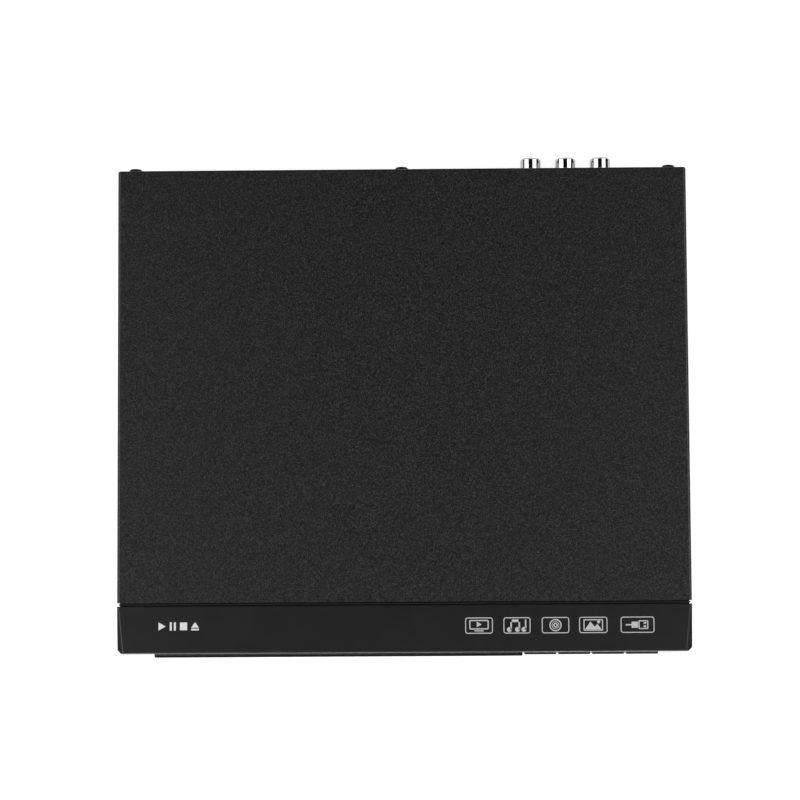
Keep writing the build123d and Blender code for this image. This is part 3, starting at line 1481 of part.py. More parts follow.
# Traverse chassis: pressed plate with the spindle hole, the pickup's slot and holders for rods and screw
rod_rear = chassis_slot_rear + rod_holder_length
holder_low = rod_w - rod_radius - sheet
screw_front = rod_front + rod_holder_length
motor_notch = sled_motor_radius + ear_gap
with BuildPart(lift_plane) as traverse_chassis:
    block(-chassis_half_width, chassis_half_width, chassis_front, chassis_rear, chassis_low, chassis_high)
    for side in (-1, 1):
        corner = sorted((side * chassis_half_width, side * (lift_half_width - ear_thickness - ear_gap)))
        block(*corner, -lift_rear - ear_gap, chassis_rear, chassis_low, chassis_high, Mode.SUBTRACT)
    block(
        -chassis_slot_half, chassis_slot_half, chassis_slot_front, chassis_slot_rear,
        chassis_low, chassis_high, Mode.SUBTRACT,
    )
    post(0, spindle_v, chassis_low, chassis_high, spindle_hole_radius, Mode.SUBTRACT)
    block(
        -cam_lug - ear_gap, cam_lug + ear_gap, chassis_front, lift_inner_front + ear_gap,
        chassis_low, chassis_high, Mode.SUBTRACT,
    )
    block(
        screw_u - motor_notch, screw_u + motor_notch, screw_front - sled_motor_length - ear_gap,
        screw_front + tab_thickness + ear_gap, chassis_low, chassis_high, Mode.SUBTRACT,
    )
    for side in (-1, 1):
        rod_faces = sorted((side * (rod_u - rod_holder_length), side * (rod_u + rod_holder_length)))
        block(*rod_faces, rod_front, rod_front + rod_holder_length, holder_low, chassis_low)
        block(*rod_faces, chassis_slot_rear, rod_rear, holder_low, chassis_low)
        bar(side * rod_u, rod_w, rod_front, rod_rear, rod_radius, Mode.SUBTRACT)
    block(
        screw_u - 2 * rod_radius, screw_u + 2 * rod_radius, chassis_slot_rear, rod_rear,
        holder_low, chassis_low,
    )
    bar(screw_u, rod_w, chassis_slot_rear, rod_rear, lead_screw_radius + running_gap, Mode.SUBTRACT)
    for u, v in damper_places:
        post(u, v, chassis_low, chassis_high, damper_neck_radius, Mode.SUBTRACT)
traverse_chassis.part.label = "traverse_chassis"
export_step(traverse_chassis.part, "parts/traverse_chassis.step")

# Rubber dampers that carry the chassis on the lift frame's posts
with BuildPart(lift_plane) as dampers:
    for u, v in damper_places:
        post(u, v, lift_high, chassis_low, damper_radius)
        post(u, v, chassis_low, chassis_high, damper_neck_radius)
        post(u, v, chassis_high, damper_top, damper_radius - sheet)
        post(u, v, lift_high, damper_top, damper_post_radius, Mode.SUBTRACT)
dampers.part.label = "dampers"
export_step(dampers.part, "parts/dampers.step")

# Spindle motor: plate under the chassis, bush and wound core
plate_low = chassis_low - motor_plate_thickness
shaft_low = plate_low - shaft_reach
with BuildPart(lift_plane) as spindle_motor:
    block(
        -motor_plate_half, motor_plate_half, spindle_v - motor_plate_half, rod_front - slip_gap,
        plate_low, chassis_low,
    )
    post(0, spindle_v, shaft_low - sheet, core_top, bush_radius)
    post(0, spindle_v, core_low, core_top, stator_radius)
    post(0, spindle_v, shaft_low, core_top, shaft_radius + running_gap, Mode.SUBTRACT)
spindle_motor.part.label = "spindle_motor"
export_step(spindle_motor.part, "parts/spindle_motor.step")

# Rotor: steel can over the core, pressed on the shaft
turntable_low = seat_w - pad_thickness - turntable_thickness
with BuildPart(lift_plane) as rotor:
    post(0, spindle_v, can_low, rotor_top, rotor_radius)
    post(0, spindle_v, can_low, rotor_top - 2 * rotor_wall, rotor_radius - rotor_wall, Mode.SUBTRACT)
    post(0, spindle_v, shaft_low, rotor_top, shaft_radius)
rotor.part.label = "rotor"
export_step(rotor.part, "parts/rotor.step")

# Turntable: seat disc with a centring hub and nose
with BuildPart(lift_plane) as turntable:
    post(0, spindle_v, rotor_top, turntable_low, hub_nose_radius)
    post(0, spindle_v, turntable_low, seat_w - pad_thickness, turntable_radius)
    post(0, spindle_v, seat_w - pad_thickness, seat_w, hub_radius + sheet)
    with Locations((0, spindle_v, (seat_w + hub_top) / 2)):
        Cone(hub_radius, hub_nose_radius, hub_top - seat_w)
turntable.part.label = "turntable"
export_step(turntable.part, "parts/turntable.step")

# Rubber ring on the turntable
with BuildPart(lift_plane) as turntable_pad:
    post(0, spindle_v, seat_w - pad_thickness, seat_w, turntable_radius - slip_gap)
    post(0, spindle_v, seat_w - pad_thickness, seat_w, pad_inner_radius, Mode.SUBTRACT)
turntable_pad.part.label = "turntable_pad"
export_step(turntable_pad.part, "parts/turntable_pad.step")

# Guide rods of the pickup
with BuildPart(lift_plane) as guide_rods:
    for side in (-1, 1):
        bar(side * rod_u, rod_w, rod_front, rod_rear, rod_radius)
guide_rods.part.label = "guide_rods"
export_step(guide_rods.part, "parts/guide_rods.step")

# Sled motor in its notch of the chassis, with a mounting tab under the plate
motor_front = screw_front - sled_motor_length
with BuildPart(lift_plane) as sled_motor:
    bar(screw_u, rod_w, motor_front, screw_front, sled_motor_radius)
    bar(screw_u, rod_w, screw_front, screw_front + tab_thickness, 2 * lead_screw_radius)
    bar(
        screw_u, rod_w, screw_front - tab_thickness, screw_front + tab_thickness,
        lead_screw_radius + running_gap, Mode.SUBTRACT,
    )
    block(
        screw_u - motor_notch, screw_u + sled_motor_radius, motor_front - 2 * tab_thickness, motor_front,
        chassis_low - tab_thickness, chassis_low,
    )
sled_motor.part.label = "sled_motor"
export_step(sled_motor.part, "parts/sled_motor.step")

# Lead screw with a ringed thread between two plain ends
ring_count = int((chassis_slot_rear - screw_front) / lead_screw_pitch) - 1
with BuildPart(lift_plane) as lead_screw:
    bar(screw_u, rod_w, screw_front - tab_thickness, rod_rear, lead_screw_radius)
    for n in range(ring_count):
        ring_v = screw_front + (n + 1) * lead_screw_pitch
        bar(screw_u, rod_w, ring_v - thread_half, ring_v + thread_half, lead_screw_radius, Mode.SUBTRACT)
        bar(screw_u, rod_w, ring_v - thread_half, ring_v + thread_half, lead_screw_radius - thread_depth)
lead_screw.part.label = "lead_screw"
export_step(lead_screw.part, "parts/lead_screw.step")

# Pickup base: casting with a bearing on each rod, a nut on the screw and the lens housing
pickup_front = lens_v - pickup_ahead
pickup_rear = lens_v + pickup_behind
rod_bore = rod_radius + running_gap
nut_bore = lead_screw_radius + nut_bore_gap
with BuildPart(lift_plane) as pickup_base:
    block(-pickup_half_width, pickup_half_width, pickup_front, pickup_rear, pickup_low, pickup_high)
    block(-bearing_reach, bearing_reach, pickup_front, pickup_rear, bearing_low, pickup_high)
    block(
        -housing_half, housing_half, lens_v - housing_half_length, lens_v + housing_half_length,
        pickup_high, housing_top,
    )
    block(
        -well_half, well_half, lens_v - well_half, lens_v + well_half, well_floor, housing_top,
        Mode.SUBTRACT,
    )
    block(
        bearing_reach, screw_u + nut_width / 2, lens_v - nut_half_length, lens_v + nut_half_length,
        bearing_low, pickup_high,
    )
    for side in (-1, 1):
        bar(side * rod_u, rod_w, pickup_front, pickup_rear, rod_bore, Mode.SUBTRACT)
    bar(screw_u, rod_w, lens_v - nut_half_length, lens_v + nut_half_length, nut_bore, Mode.SUBTRACT)
pickup_base.part.label = "pickup_base"
export_step(pickup_base.part, "parts/pickup_base.step")

# Lens holder in the housing's well
lens_seat_radius = lens_radius + sheet
with BuildPart(lift_plane) as lens_holder:
    block(
        -lens_block_half, lens_block_half, lens_v - lens_block_half, lens_v + lens_block_half,
        lens_block_low, lens_block_top,
    )
    post(0, lens_v, lens_block_low, lens_block_top, lens_radius, Mode.SUBTRACT)
    post(0, lens_v, lens_block_top, lens_top - slip_gap, lens_seat_radius)
    post(0, lens_v, lens_block_top, lens_top - slip_gap, lens_radius, Mode.SUBTRACT)
lens_holder.part.label = "lens_holder"
export_step(lens_holder.part, "parts/lens_holder.step")

# Objective lens with a domed face
with BuildPart(lift_plane) as objective_lens:
    post(0, lens_v, lens_block_top - 2 * sheet, lens_top, lens_radius)
    lens_edge = objective_lens.edges().filter_by(GeomType.CIRCLE).sort_by(Axis.Z)[-1]
    fillet(lens_edge, sheet)
objective_lens.part.label = "objective_lens"
export_step(objective_lens.part, "parts/objective_lens.step")

# Cam slider: upright plate whose slanted slot lifts the frame's pin
pin_mid_v = cam_pin_v + cam_thickness / 2


# Height of the cam pin when the lift frame leans by an angle
def pin_height(lean):
    return pivot_z + cam_pin_w * cos(lean) + pin_mid_v * sin(lean)


pin_low_z = pin_height(lift_angle)
pin_high_z = pin_height(0)
cam_rear_y = well_front_y + cam_gap + cam_thickness
cam_front_y = well_front_y + cam_gap
slot_half = cam_pin_radius + cam_slot_gap
slot_rise_angle = atan((pin_high_z - pin_low_z) / cam_travel)
cam_left = loader_x - cam_travel - cam_dwell - slot_half - cam_margin
cam_right = loader_x + cam_dwell + slot_half + cam_margin
with BuildPart() as cam_slider:
    block(cam_left, cam_right, cam_front_y, cam_rear_y, cam_bottom, cam_top)
    with BuildSketch(Plane.XZ.offset(-cam_front_y)):
        with Locations((loader_x + cam_dwell / 2, pin_low_z)):
            SlotCenterToCenter(cam_dwell, 2 * slot_half)
        with Locations((loader_x - cam_travel - cam_dwell / 2, pin_high_z)):
            SlotCenterToCenter(cam_dwell, 2 * slot_half)
        with Locations((loader_x - cam_travel / 2, (pin_low_z + pin_high_z) / 2)):
            SlotCenterToCenter(
                cam_travel / cos(slot_rise_angle), 2 * slot_half, rotation=-degrees(slot_rise_angle)
            )
    extrude(amount=-cam_thickness, mode=Mode.SUBTRACT)
cam_slider.part.label = "cam_slider"
export_step(cam_slider.part, "parts/cam_slider.step")
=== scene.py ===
"""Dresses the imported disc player, prints its generic signs and sets up the studio of the photograph."""
import bpy
from math import cos, pi, radians, sin, tan
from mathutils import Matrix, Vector


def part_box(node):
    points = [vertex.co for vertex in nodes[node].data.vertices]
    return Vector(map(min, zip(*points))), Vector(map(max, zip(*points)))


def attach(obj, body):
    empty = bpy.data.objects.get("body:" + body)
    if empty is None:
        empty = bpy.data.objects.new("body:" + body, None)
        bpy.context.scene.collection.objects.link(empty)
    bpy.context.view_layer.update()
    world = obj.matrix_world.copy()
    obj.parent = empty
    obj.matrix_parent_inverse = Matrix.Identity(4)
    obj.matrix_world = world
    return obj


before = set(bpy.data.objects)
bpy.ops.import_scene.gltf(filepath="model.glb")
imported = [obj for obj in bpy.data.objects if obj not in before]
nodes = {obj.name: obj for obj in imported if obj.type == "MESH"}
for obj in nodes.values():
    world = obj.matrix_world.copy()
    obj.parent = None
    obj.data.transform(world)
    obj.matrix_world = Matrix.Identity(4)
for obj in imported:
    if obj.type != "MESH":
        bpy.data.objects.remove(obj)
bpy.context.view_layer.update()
MM = 0.001
WHITE = (1, 1, 1, 1)
BLACK = (0, 0, 0, 1)


def grey(tone):
    return (tone, tone, tone)


def blank_tree(owner):
    """Empties the node tree of a material or world and returns it."""
    owner.use_nodes = True
    owner.node_tree.nodes.clear()
    return owner.node_tree


# Materials
NOISE_LOW, NOISE_HIGH = 0.3, 0.7
BEVEL_SAMPLES = 4
LIGHTER, LIFT = 1.35, 0.002
DARKER = 0.8
SPECK_GRID, SPECK_TONE = 4000, 0.047
SPECK_LOW, SPECK_HIGH = 0.55, 0.82
CRYSTAL_GRID, CRYSTAL_SHARE = 130, 0.40
TRACK_GRID, TRACK_WIDTH = 180, 0.06
PAD_GRID, PAD_REACH = 420, 0.16
SOLDER = (0.55, 0.55, 0.52)
TURN_DEPTH = 0.00012
FUSE_GLASS_SHARE = 0.62


class Surface:
    """A node material: colour mottle, fine fleck, roughness change, grain bump and softened edges."""

    def __init__(self, name, colour, roughness=0.5, metallic=0.0, specular=0.5):
        self.material = bpy.data.materials.new(name)
        self.tree = blank_tree(self.material)
        output = self.add("ShaderNodeOutputMaterial")
        self.shader = self.add("ShaderNodeBsdfPrincipled")
        self.link(self.shader.outputs["BSDF"], output.inputs["Surface"])
        self.coords = self.add("ShaderNodeTexCoord").outputs["Object"]
        self.colour = None
        self.base = (*colour, 1)
        self.roughness = roughness
        self.height = None
        self.set("Base Color", self.base)
        self.set("Roughness", roughness)
        self.set("Metallic", metallic)
        self.set("Specular IOR Level", specular)

    def add(self, kind):
        return self.tree.nodes.new(kind)

    def link(self, a, b):
        self.tree.links.new(a, b)

    def set(self, socket, value):
        self.shader.inputs[socket].default_value = value
        return self

    def noise(self, scale, detail=2.0, stretch=None, rough=0.5):
        source = self.coords
        if stretch:
            mapping = self.add("ShaderNodeMapping")
            mapping.inputs["Scale"].default_value = stretch
            self.link(source, mapping.inputs["Vector"])
            source = mapping.outputs["Vector"]
        texture = self.add("ShaderNodeTexNoise")
        texture.inputs["Scale"].default_value = scale
        texture.inputs["Detail"].default_value = detail
        texture.inputs["Roughness"].default_value = rough
        self.link(source, texture.inputs["Vector"])
        return texture.outputs["Fac"]

    def cells(self, scale, output="Distance"):
        texture = self.add("ShaderNodeTexVoronoi")
        texture.inputs["Scale"].default_value = scale
        self.link(self.coords, texture.inputs["Vector"])
        return texture.outputs[output]

    def ranged(self, value, low, high, out_low, out_high):
        node = self.add("ShaderNodeMapRange")
        node.inputs["From Min"].default_value = low
        node.inputs["From Max"].default_value = high
        node.inputs["To Min"].default_value = out_low
        node.inputs["To Max"].default_value = out_high
        self.link(value, node.inputs["Value"])
        return node.outputs["Result"]

    def tint(self, mask, colour):
        """Mixes a second colour in where the mask is 1."""
        mix = self.add("ShaderNodeMix")
        mix.data_type = "RGBA"
        self.link(mask, mix.inputs["Factor"])
        if self.colour is None:
            mix.inputs["A"].default_value = self.base
        else:
            self.link(self.colour, mix.inputs["A"])
        mix.inputs["B"].default_value = (*colour, 1)
        self.colour = mix.outputs["Result"]
        self.link(self.colour, self.shader.inputs["Base Color"])
        return self

    def mottle(self, scale, colour, low=0.35, high=0.75, amount=1.0):
        """Mixes a second colour in as soft patches."""
        return self.tint(self.ranged(self.noise(scale), low, high, 0, amount), colour)

    def uneven(self, scale, spread, stretch=None):
        """Roughness that drifts around its middle value."""
        drift = self.noise(scale, stretch=stretch)
        low, high = self.roughness - spread, self.roughness + spread
        self.link(self.ranged(drift, NOISE_LOW, NOISE_HIGH, low, high), self.shader.inputs["Roughness"])
        return self

    def bump(self, value, depth):
        node = self.add("ShaderNodeBump")
        node.inputs["Distance"].default_value = depth
        self.link(value, node.inputs["Height"])
        if self.height is not None:
            self.link(self.height, node.inputs["Normal"])
        self.height = node.outputs["Normal"]
        self.link(self.height, self.shader.inputs["Normal"])
        return self

    def soft_edges(self, radius):
        """Rounds the look of sharp moulded or pressed edges."""
        node = self.add("ShaderNodeBevel")
        node.samples = BEVEL_SAMPLES
        node.inputs["Radius"].default_value = radius
        self.height = node.outputs["Normal"]
        self.link(self.height, self.shader.inputs["Normal"])
        return self


def moulded(name, colour, roughness, grain=900.0, depth=0.00001, specular=0.5, edge=0.0003, calm=1.0):
    """Plastic or paint. The calm factor thins its mottle and its change of gloss."""
    lighter = tuple(c * LIGHTER + LIFT for c in colour)
    made = Surface(name, colour, roughness, specular=specular).soft_edges(edge)
    made.mottle(35, lighter, 0.25, 0.75, amount=0.6 * calm)
    made.uneven(160, 0.05 * calm)
    made.bump(made.noise(grain, 3), depth)
    return made


def plated(name, colour, roughness, brush=None, spread=0.08, edge=0.0002):
    """Bare or plated metal, brushed where the noise is stretched."""
    darker = tuple(c * DARKER for c in colour)
    made = Surface(name, colour, roughness, metallic=1.0).soft_edges(edge)
    made.mottle(120, darker, amount=0.7)
    made.uneven(300, spread, stretch=brush)
    made.bump(made.noise(700, 3, stretch=brush), 0.000004)
    return made


def cover_paint():
    """Powder coat with pale specks finer than half a millimetre, and a sheen that shows on the bends."""
    made = Surface("cover_powder_coat", (0.0026, 0.0026, 0.0027), 0.42, specular=0.26)
    specks = made.ranged(made.cells(SPECK_GRID, output="Color"), SPECK_LOW, SPECK_HIGH, 0, 1)
    made.tint(specks, grey(SPECK_TONE))
    made.uneven(900, 0.08)
    made.bump(made.noise(1500, 2, rough=0.6), 0.00003)
    made.set("Coat Weight", 0.2).set("Coat Roughness", 0.16)
    return made


def galvanised(name):
    """Zinc-coated sheet with crystals of two close tones."""
    made = Surface(name, (0.60, 0.62, 0.63), 0.34, metallic=1.0)
    crystals = made.ranged(made.cells(CRYSTAL_GRID, output="Color"), 0, 1, 0, CRYSTAL_SHARE)
    made.tint(crystals, (0.45, 0.47, 0.49))
    made.uneven(220, 0.05)
    made.bump(made.noise(500, 3), 0.00001)
    return made


def circuit(name, colour, track):
    """Lacquered board with a net of tracks and small solder pads."""
    made = Surface(name, colour, 0.38)
    bricks = made.add("ShaderNodeTexBrick")
    values = {
        "Scale": TRACK_GRID, "Mortar Size": TRACK_WIDTH, "Color1": BLACK, "Color2": BLACK, "Mortar": WHITE,
    }
    for socket, value in values.items():
        bricks.inputs[socket].default_value = value
    made.link(made.coords, bricks.inputs["Vector"])
    made.tint(bricks.outputs["Fac"], track)
    made.tint(made.ranged(made.cells(PAD_GRID), 0, PAD_REACH, 1, 0), SOLDER)
    made.bump(bricks.outputs["Fac"], 0.00002)
    made.uneven(300, 0.08)
    return made


def rubber(name):
    made = Surface(name, grey(0.018), 0.78, specular=0.3).soft_edges(0.0004)
    made.mottle(90, grey(0.030))
    made.uneven(250, 0.08)
    made.bump(made.noise(1800, 3), 0.00003)
    return made


def wound(name, colour, gap, axis, pitch):
    """Turns of wire or folds that run round a form, one every pitch along an axis."""
    made = Surface(name, colour, 0.4, metallic=0.3)
    split = made.add("ShaderNodeSeparateXYZ")
    made.link(made.coords, split.inputs["Vector"])
    turns = made.add("ShaderNodeMath")
    turns.operation = "MULTIPLY"
    turns.inputs[1].default_value = 2 * pi / pitch
    made.link(split.outputs[axis], turns.inputs[0])
    wave = made.add("ShaderNodeMath")
    wave.operation = "SINE"
    made.link(turns.outputs["Value"], wave.inputs[0])
    band = made.ranged(wave.outputs["Value"], -1, 1, 1, 0)
    made.tint(band, gap)
    made.bump(wave.outputs["Value"], TURN_DEPTH)
    made.uneven(400, 0.1)
    return made


black_moulding = moulded("black_moulding", (0.0105, 0.0105, 0.0107), 0.26, 1400, 0.000004, 0.52, 0.0007, 0.2)
door_gloss = moulded("door_gloss", (0.010, 0.010, 0.0102), 0.16, 500, 0.000002, 0.5, 0.0004, 0.2)
key_gloss = moulded("key_gloss", (0.010, 0.010, 0.0102), 0.20, 700, 0.000003, 0.5, 0.0004, 0.2)
panel_paint = moulded("panel_satin_paint", grey(0.016), 0.52, 1600, 0.00004, 0.4, 0.0002)
loader_black = moulded("loader_grained", (0.022, 0.022, 0.023), 0.55, 1200, 0.00006, 0.4)
tray_satin = moulded("tray_satin", (0.020, 0.020, 0.021), 0.38, 1500, 0.00002, 0.45)
socket_black = moulded("socket_moulding", grey(0.015), 0.45, 1200, 0.00002, 0.45)
part_black = moulded("component_epoxy", (0.020, 0.020, 0.021), 0.60, 2200, 0.00003, 0.35, 0.0001)
natural_gear = moulded("gear_natural", (0.72, 0.70, 0.64), 0.42, 900, 0.00001, 0.5, 0.0001)
pale_connector = moulded("connector_pale", (0.70, 0.66, 0.56), 0.45, 900, 0.00001, 0.5, 0.0002)
turntable_dark = moulded("turntable_dark", (0.045, 0.045, 0.048), 0.36, 900, 0.00001)
sleeve_blue = moulded("capacitor_sleeve", (0.020, 0.028, 0.060), 0.30, 900, 0.00001)
wire_red = moulded("wire_sleeve", (0.55, 0.035, 0.030), 0.45, 900, 0.00001)
ribbon_white = wound("flat_ribbon", (0.62, 0.62, 0.60), (0.30, 0.31, 0.34), "X", 0.001)
insulator_yellow = moulded("insulator_yellow", (0.72, 0.50, 0.04), 0.35, 900, 0.00001)
black_screw = plated("screw_black_oxide", (0.020, 0.020, 0.021), 0.38)
bright_screw = plated("screw_zinc", (0.66, 0.66, 0.62), 0.28)
ground_steel = plated("ground_rod", grey(0.74), 0.12, spread=0.04)
barrel_nickel = plated("barrel_nickel", grey(0.47), 0.06, spread=0.02)
contact_gold = plated("contact_plate", (0.78, 0.62, 0.32), 0.22)
shell_tin = plated("socket_shell_tin", (0.70, 0.70, 0.71), 0.30)
can_steel = plated("motor_can", (0.58, 0.59, 0.60), 0.30, brush=(1, 1, 12))
pressed_steel = plated("pressed_steel", (0.60, 0.61, 0.62), 0.36, brush=(12, 1, 1))
heatsink_alloy = plated("heatsink_alloy", (0.66, 0.67, 0.69), 0.40, brush=(1, 1, 10))
cast_alloy = plated("cast_alloy", (0.50, 0.51, 0.52), 0.48)
zinc_sheet = galvanised("galvanised_sheet")
rubber_black = rubber("foot_rubber")
belt_rubber = rubber("belt_rubber")
board_green = circuit("board_green", (0.012, 0.075, 0.030), (0.020, 0.110, 0.045))
board_brown = circuit("board_brown", (0.32, 0.20, 0.075), (0.38, 0.25, 0.10))
winding = wound("winding_tape", (0.62, 0.48, 0.06), (0.40, 0.28, 0.03), "Z", 0.0016)

window_smoke = Surface("window_smoke", (0.045, 0.006, 0.008), 0.10).soft_edges(0.0003)
window_smoke.set("Transmission Weight", 0.35).set("IOR", 1.49)
window_smoke.mottle(60, (0.030, 0.004, 0.006))
window_smoke.uneven(200, 0.02)

lens_glass = Surface("lens_coated", (0.30, 0.42, 0.78), 0.03, specular=0.6)
lens_glass.set("Transmission Weight", 0.6).set("IOR", 1.52)
lens_glass.mottle(700, (0.45, 0.30, 0.75))


def fuse_tube():
    """Glass over the middle share of the fuse's length, and a metal cap on each end."""
    made = Surface("fuse_tube", (0.80, 0.82, 0.80), 0.06)
    made.set("Transmission Weight", 0.5).set("IOR", 1.47)
    low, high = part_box("mains_fuse")
    split = made.add("ShaderNodeSeparateXYZ")
    made.link(made.coords, split.inputs["Vector"])
    near_middle = made.add("ShaderNodeMath")
    near_middle.operation = "COMPARE"
    near_middle.inputs[1].default_value = (low.y + high.y) / 2
    near_middle.inputs[2].default_value = (high.y - low.y) / 2 * FUSE_GLASS_SHARE
    made.link(split.outputs["Y"], near_middle.inputs[0])
    caps = made.ranged(near_middle.outputs["Value"], 0, 1, 1, 0)
    made.tint(caps, (0.62, 0.62, 0.60))
    made.link(caps, made.shader.inputs["Metallic"])
    return made


dressed = {
    cover_paint(): ["top_cover"],
    panel_paint: ["rear_panel"],
    zinc_sheet: ["chassis_pan", "clamp_bridge"],
    black_moulding: ["front_bezel"],
    door_gloss: ["tray_door"],
    key_gloss: ["open_close_key", "play_key", "stop_key", "power_key"],
    window_smoke: ["ir_window"],
    rubber_black: ["feet", "dampers", "turntable_pad"],
    belt_rubber: ["drive_belt"],
    black_screw: ["rear_screws"],
    bright_screw: ["inner_screws"],
    ground_steel: ["guide_rods", "lead_screw"],
    barrel_nickel: ["rca_barrels"],
    contact_gold: ["rca_contacts", "inlet_pins"],
    shell_tin: ["hdmi_socket", "usb_socket"],
    socket_black: ["rca_housing", "mains_inlet", "socket_tongues"],
    insulator_yellow: ["rca_insulators"],
    board_green: ["main_board", "front_board"],
    board_brown: ["power_board"],
    part_black: ["board_chips", "ir_receiver", "tact_switches"],
    sleeve_blue: ["board_capacitors", "power_capacitors"],
    winding: ["transformer"],
    pale_connector: ["board_connectors"],
    ribbon_white: ["pickup_ribbon", "front_ribbon"],
    wire_red: ["power_harness"],
    fuse_tube(): ["mains_fuse"],
    heatsink_alloy: ["power_heatsink"],
    loader_black: ["loader_frame", "cam_slider", "lift_frame", "clamp_puck"],
    tray_satin: ["disc_tray"],
    natural_gear: ["tray_gear", "belt_gear", "motor_pulley"],
    pressed_steel: ["traverse_chassis"],
    can_steel: ["spindle_motor", "rotor", "loading_motor", "sled_motor"],
    turntable_dark: ["turntable", "lens_holder"],
    cast_alloy: ["pickup_base"],
    lens_glass: ["objective_lens"],
}
for finish, names in dressed.items():
    for name in names:
        slots = nodes[name].data.materials
        slots.clear()
        slots.append(finish.material)


# Printed marks, in millimetres
def ink_coat(name, tone):
    made = Surface(name, grey(tone), 0.5, specular=0.3)
    made.mottle(900, grey(tone * DARKER), amount=0.5)
    made.bump(made.noise(2500, 2), 0.000004)
    return made


bright_ink = ink_coat("printed_ink_bright", 0.86)
ink = ink_coat("printed_ink", 0.62)
dim_ink = ink_coat("printed_ink_dim", 0.36)
INK = 0.02
INNER_CORNER = 0.6
CORNER_STEPS = 5
CIRCLE_STEPS = 28


def arc(cx, cy, r, start, end, steps):
    turns = [radians(start + (end - start) * n / steps) for n in range(steps + 1)]
    return [(cx + r * cos(turn), cy + r * sin(turn)) for turn in turns]


def rounded(x0, x1, y0, y1, r):
    middles = ((x1 - r, y1 - r), (x0 + r, y1 - r), (x0 + r, y0 + r), (x1 - r, y0 + r))
    points = []
    for quarter, (cx, cy) in enumerate(middles):
        points += arc(cx, cy, r, 90 * quarter, 90 * quarter + 90, CORNER_STEPS)
    return points


def box_points(x0, x1, y0, y1):
    return [(x0, y0), (x1, y0), (x1, y1), (x0, y1)]


def circle(cx, cy, r):
    return arc(cx, cy, r, 0, 360 - 360 / CIRCLE_STEPS, CIRCLE_STEPS - 1)


class Print:
    """Flat ink shapes in millimetres, laid on the bezel's top or on a key's front."""

    def __init__(self):
        self.verts = []
        self.faces = []
        self.middle = (0, 0)

    def at(self, cx, cy):
        """Sets the point that the next shapes are drawn around."""
        self.middle = (cx, cy)

    def add(self, *outlines):
        """Adds the outlines at the ink's height and again on the surface, and returns the first index."""
        start = len(self.verts)
        cx, cy = self.middle
        for height in (INK, 0.0):
            for points in outlines:
                self.verts += [(cx + x, cy + y, height) for x, y in points]
        return start

    def shape(self, points):
        start = self.add(points)
        count = len(points)
        self.faces.append([start + n for n in range(count)])
        self.faces.append([start + count + n for n in reversed(range(count))])
        self.walls(start, start + count, count)
        return self

    def walls(self, top, low, count):
        for n in range(count):
            m = (n + 1) % count
            self.faces.append([top + m, top + n, low + n, low + m])

    def ring(self, outer, inner):
        start = self.add(outer, inner)
        count = len(outer)
        low = 2 * count
        for n in range(count):
            m = (n + 1) % count
            out_n, out_m = start + n, start + m
            in_n, in_m = out_n + count, out_m + count
            self.faces.append([out_n, out_m, in_m, in_n])
            self.faces.append([out_m + low, out_n + low, in_n + low, in_m + low])
            self.faces.append([in_n, in_m, in_m + low, in_n + low])
        self.walls(start, start + low, count)
        return self

    def frame(self, x0, x1, y0, y1, line, r):
        inner = rounded(x0 + line, x1 - line, y0 + line, y1 - line, r * INNER_CORNER)
        return self.ring(rounded(x0, x1, y0, y1, r), inner)

    def loop(self, r, line):
        return self.ring(circle(0, 0, r), circle(0, 0, r - line))

    def place(self, name, body, material, where):
        mesh = bpy.data.meshes.new(name)
        mesh.from_pydata([tuple(c * MM for c in where(*v)) for v in self.verts], [], self.faces)
        mesh.materials.append(material)
        piece = bpy.data.objects.new(name, mesh)
        bpy.context.scene.collection.objects.link(piece)
        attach(piece, body)


GROOVE = 1.3
bezel_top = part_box("front_bezel")[1].z / MM
bezel_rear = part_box("top_cover")[0].y / MM - GROOVE


# A print on the bezel's top: x across, y from the bezel's rear edge
def on_bezel(x, y, lift):
    return (x, bezel_rear + y, bezel_top + lift)


# Play, pause, stop and eject in a row at the left
SIGN_HEIGHT = 3.2
sign_low = -9.4
sign_high = sign_low + SIGN_HEIGHT
sign_middle = (sign_low + sign_high) / 2
transport = Print()
transport.shape([(-96.1, sign_low), (-93.3, sign_middle), (-96.1, sign_high)])
transport.shape(box_points(-91.7, -90.9, sign_low, sign_high))
transport.shape(box_points(-90.1, -89.3, sign_low, sign_high))
transport.shape(box_points(-87.7, -84.9, sign_low + 0.1, sign_high - 0.1))
transport.shape([(-83.3, sign_low + 1.1), (-80.3, sign_low + 1.1), (-81.8, sign_high)])
transport.shape(box_points(-83.3, -80.3, sign_low, sign_low + 0.7))
transport.place("bezel_transport_signs", "casing", bright_ink.material, on_bezel)

# Five framed pictures at the right
FRAME_LINE = 0.35
FRAME_CORNER = 1.0
BOX_LOW, BOX_HIGH = -11.3, -5.0
BOX_MID = (BOX_LOW + BOX_HIGH) / 2
BOX_SIDES = ((23.8, 34.6), (38.75, 49.3), (53.7, 64.4), (68.25, 79.3), (84.45, 97.6))
screen_x, notes_x, disc_x, picture_x, plug_x = [(left + right) / 2 for left, right in BOX_SIDES]
signs = Print()
for left, right in BOX_SIDES:
    signs.frame(left, right, BOX_LOW, BOX_HIGH, FRAME_LINE, FRAME_CORNER)

# A screen on its foot with a play triangle
signs.at(screen_x, BOX_MID)
signs.frame(-3.8, 3.8, -1.5, 2.2, 0.45, 0.5)
signs.shape(box_points(-1.8, 1.8, -2.25, -1.85))
signs.shape([(-0.9, -0.6), (1.1, 0.45), (-0.9, 1.5)])

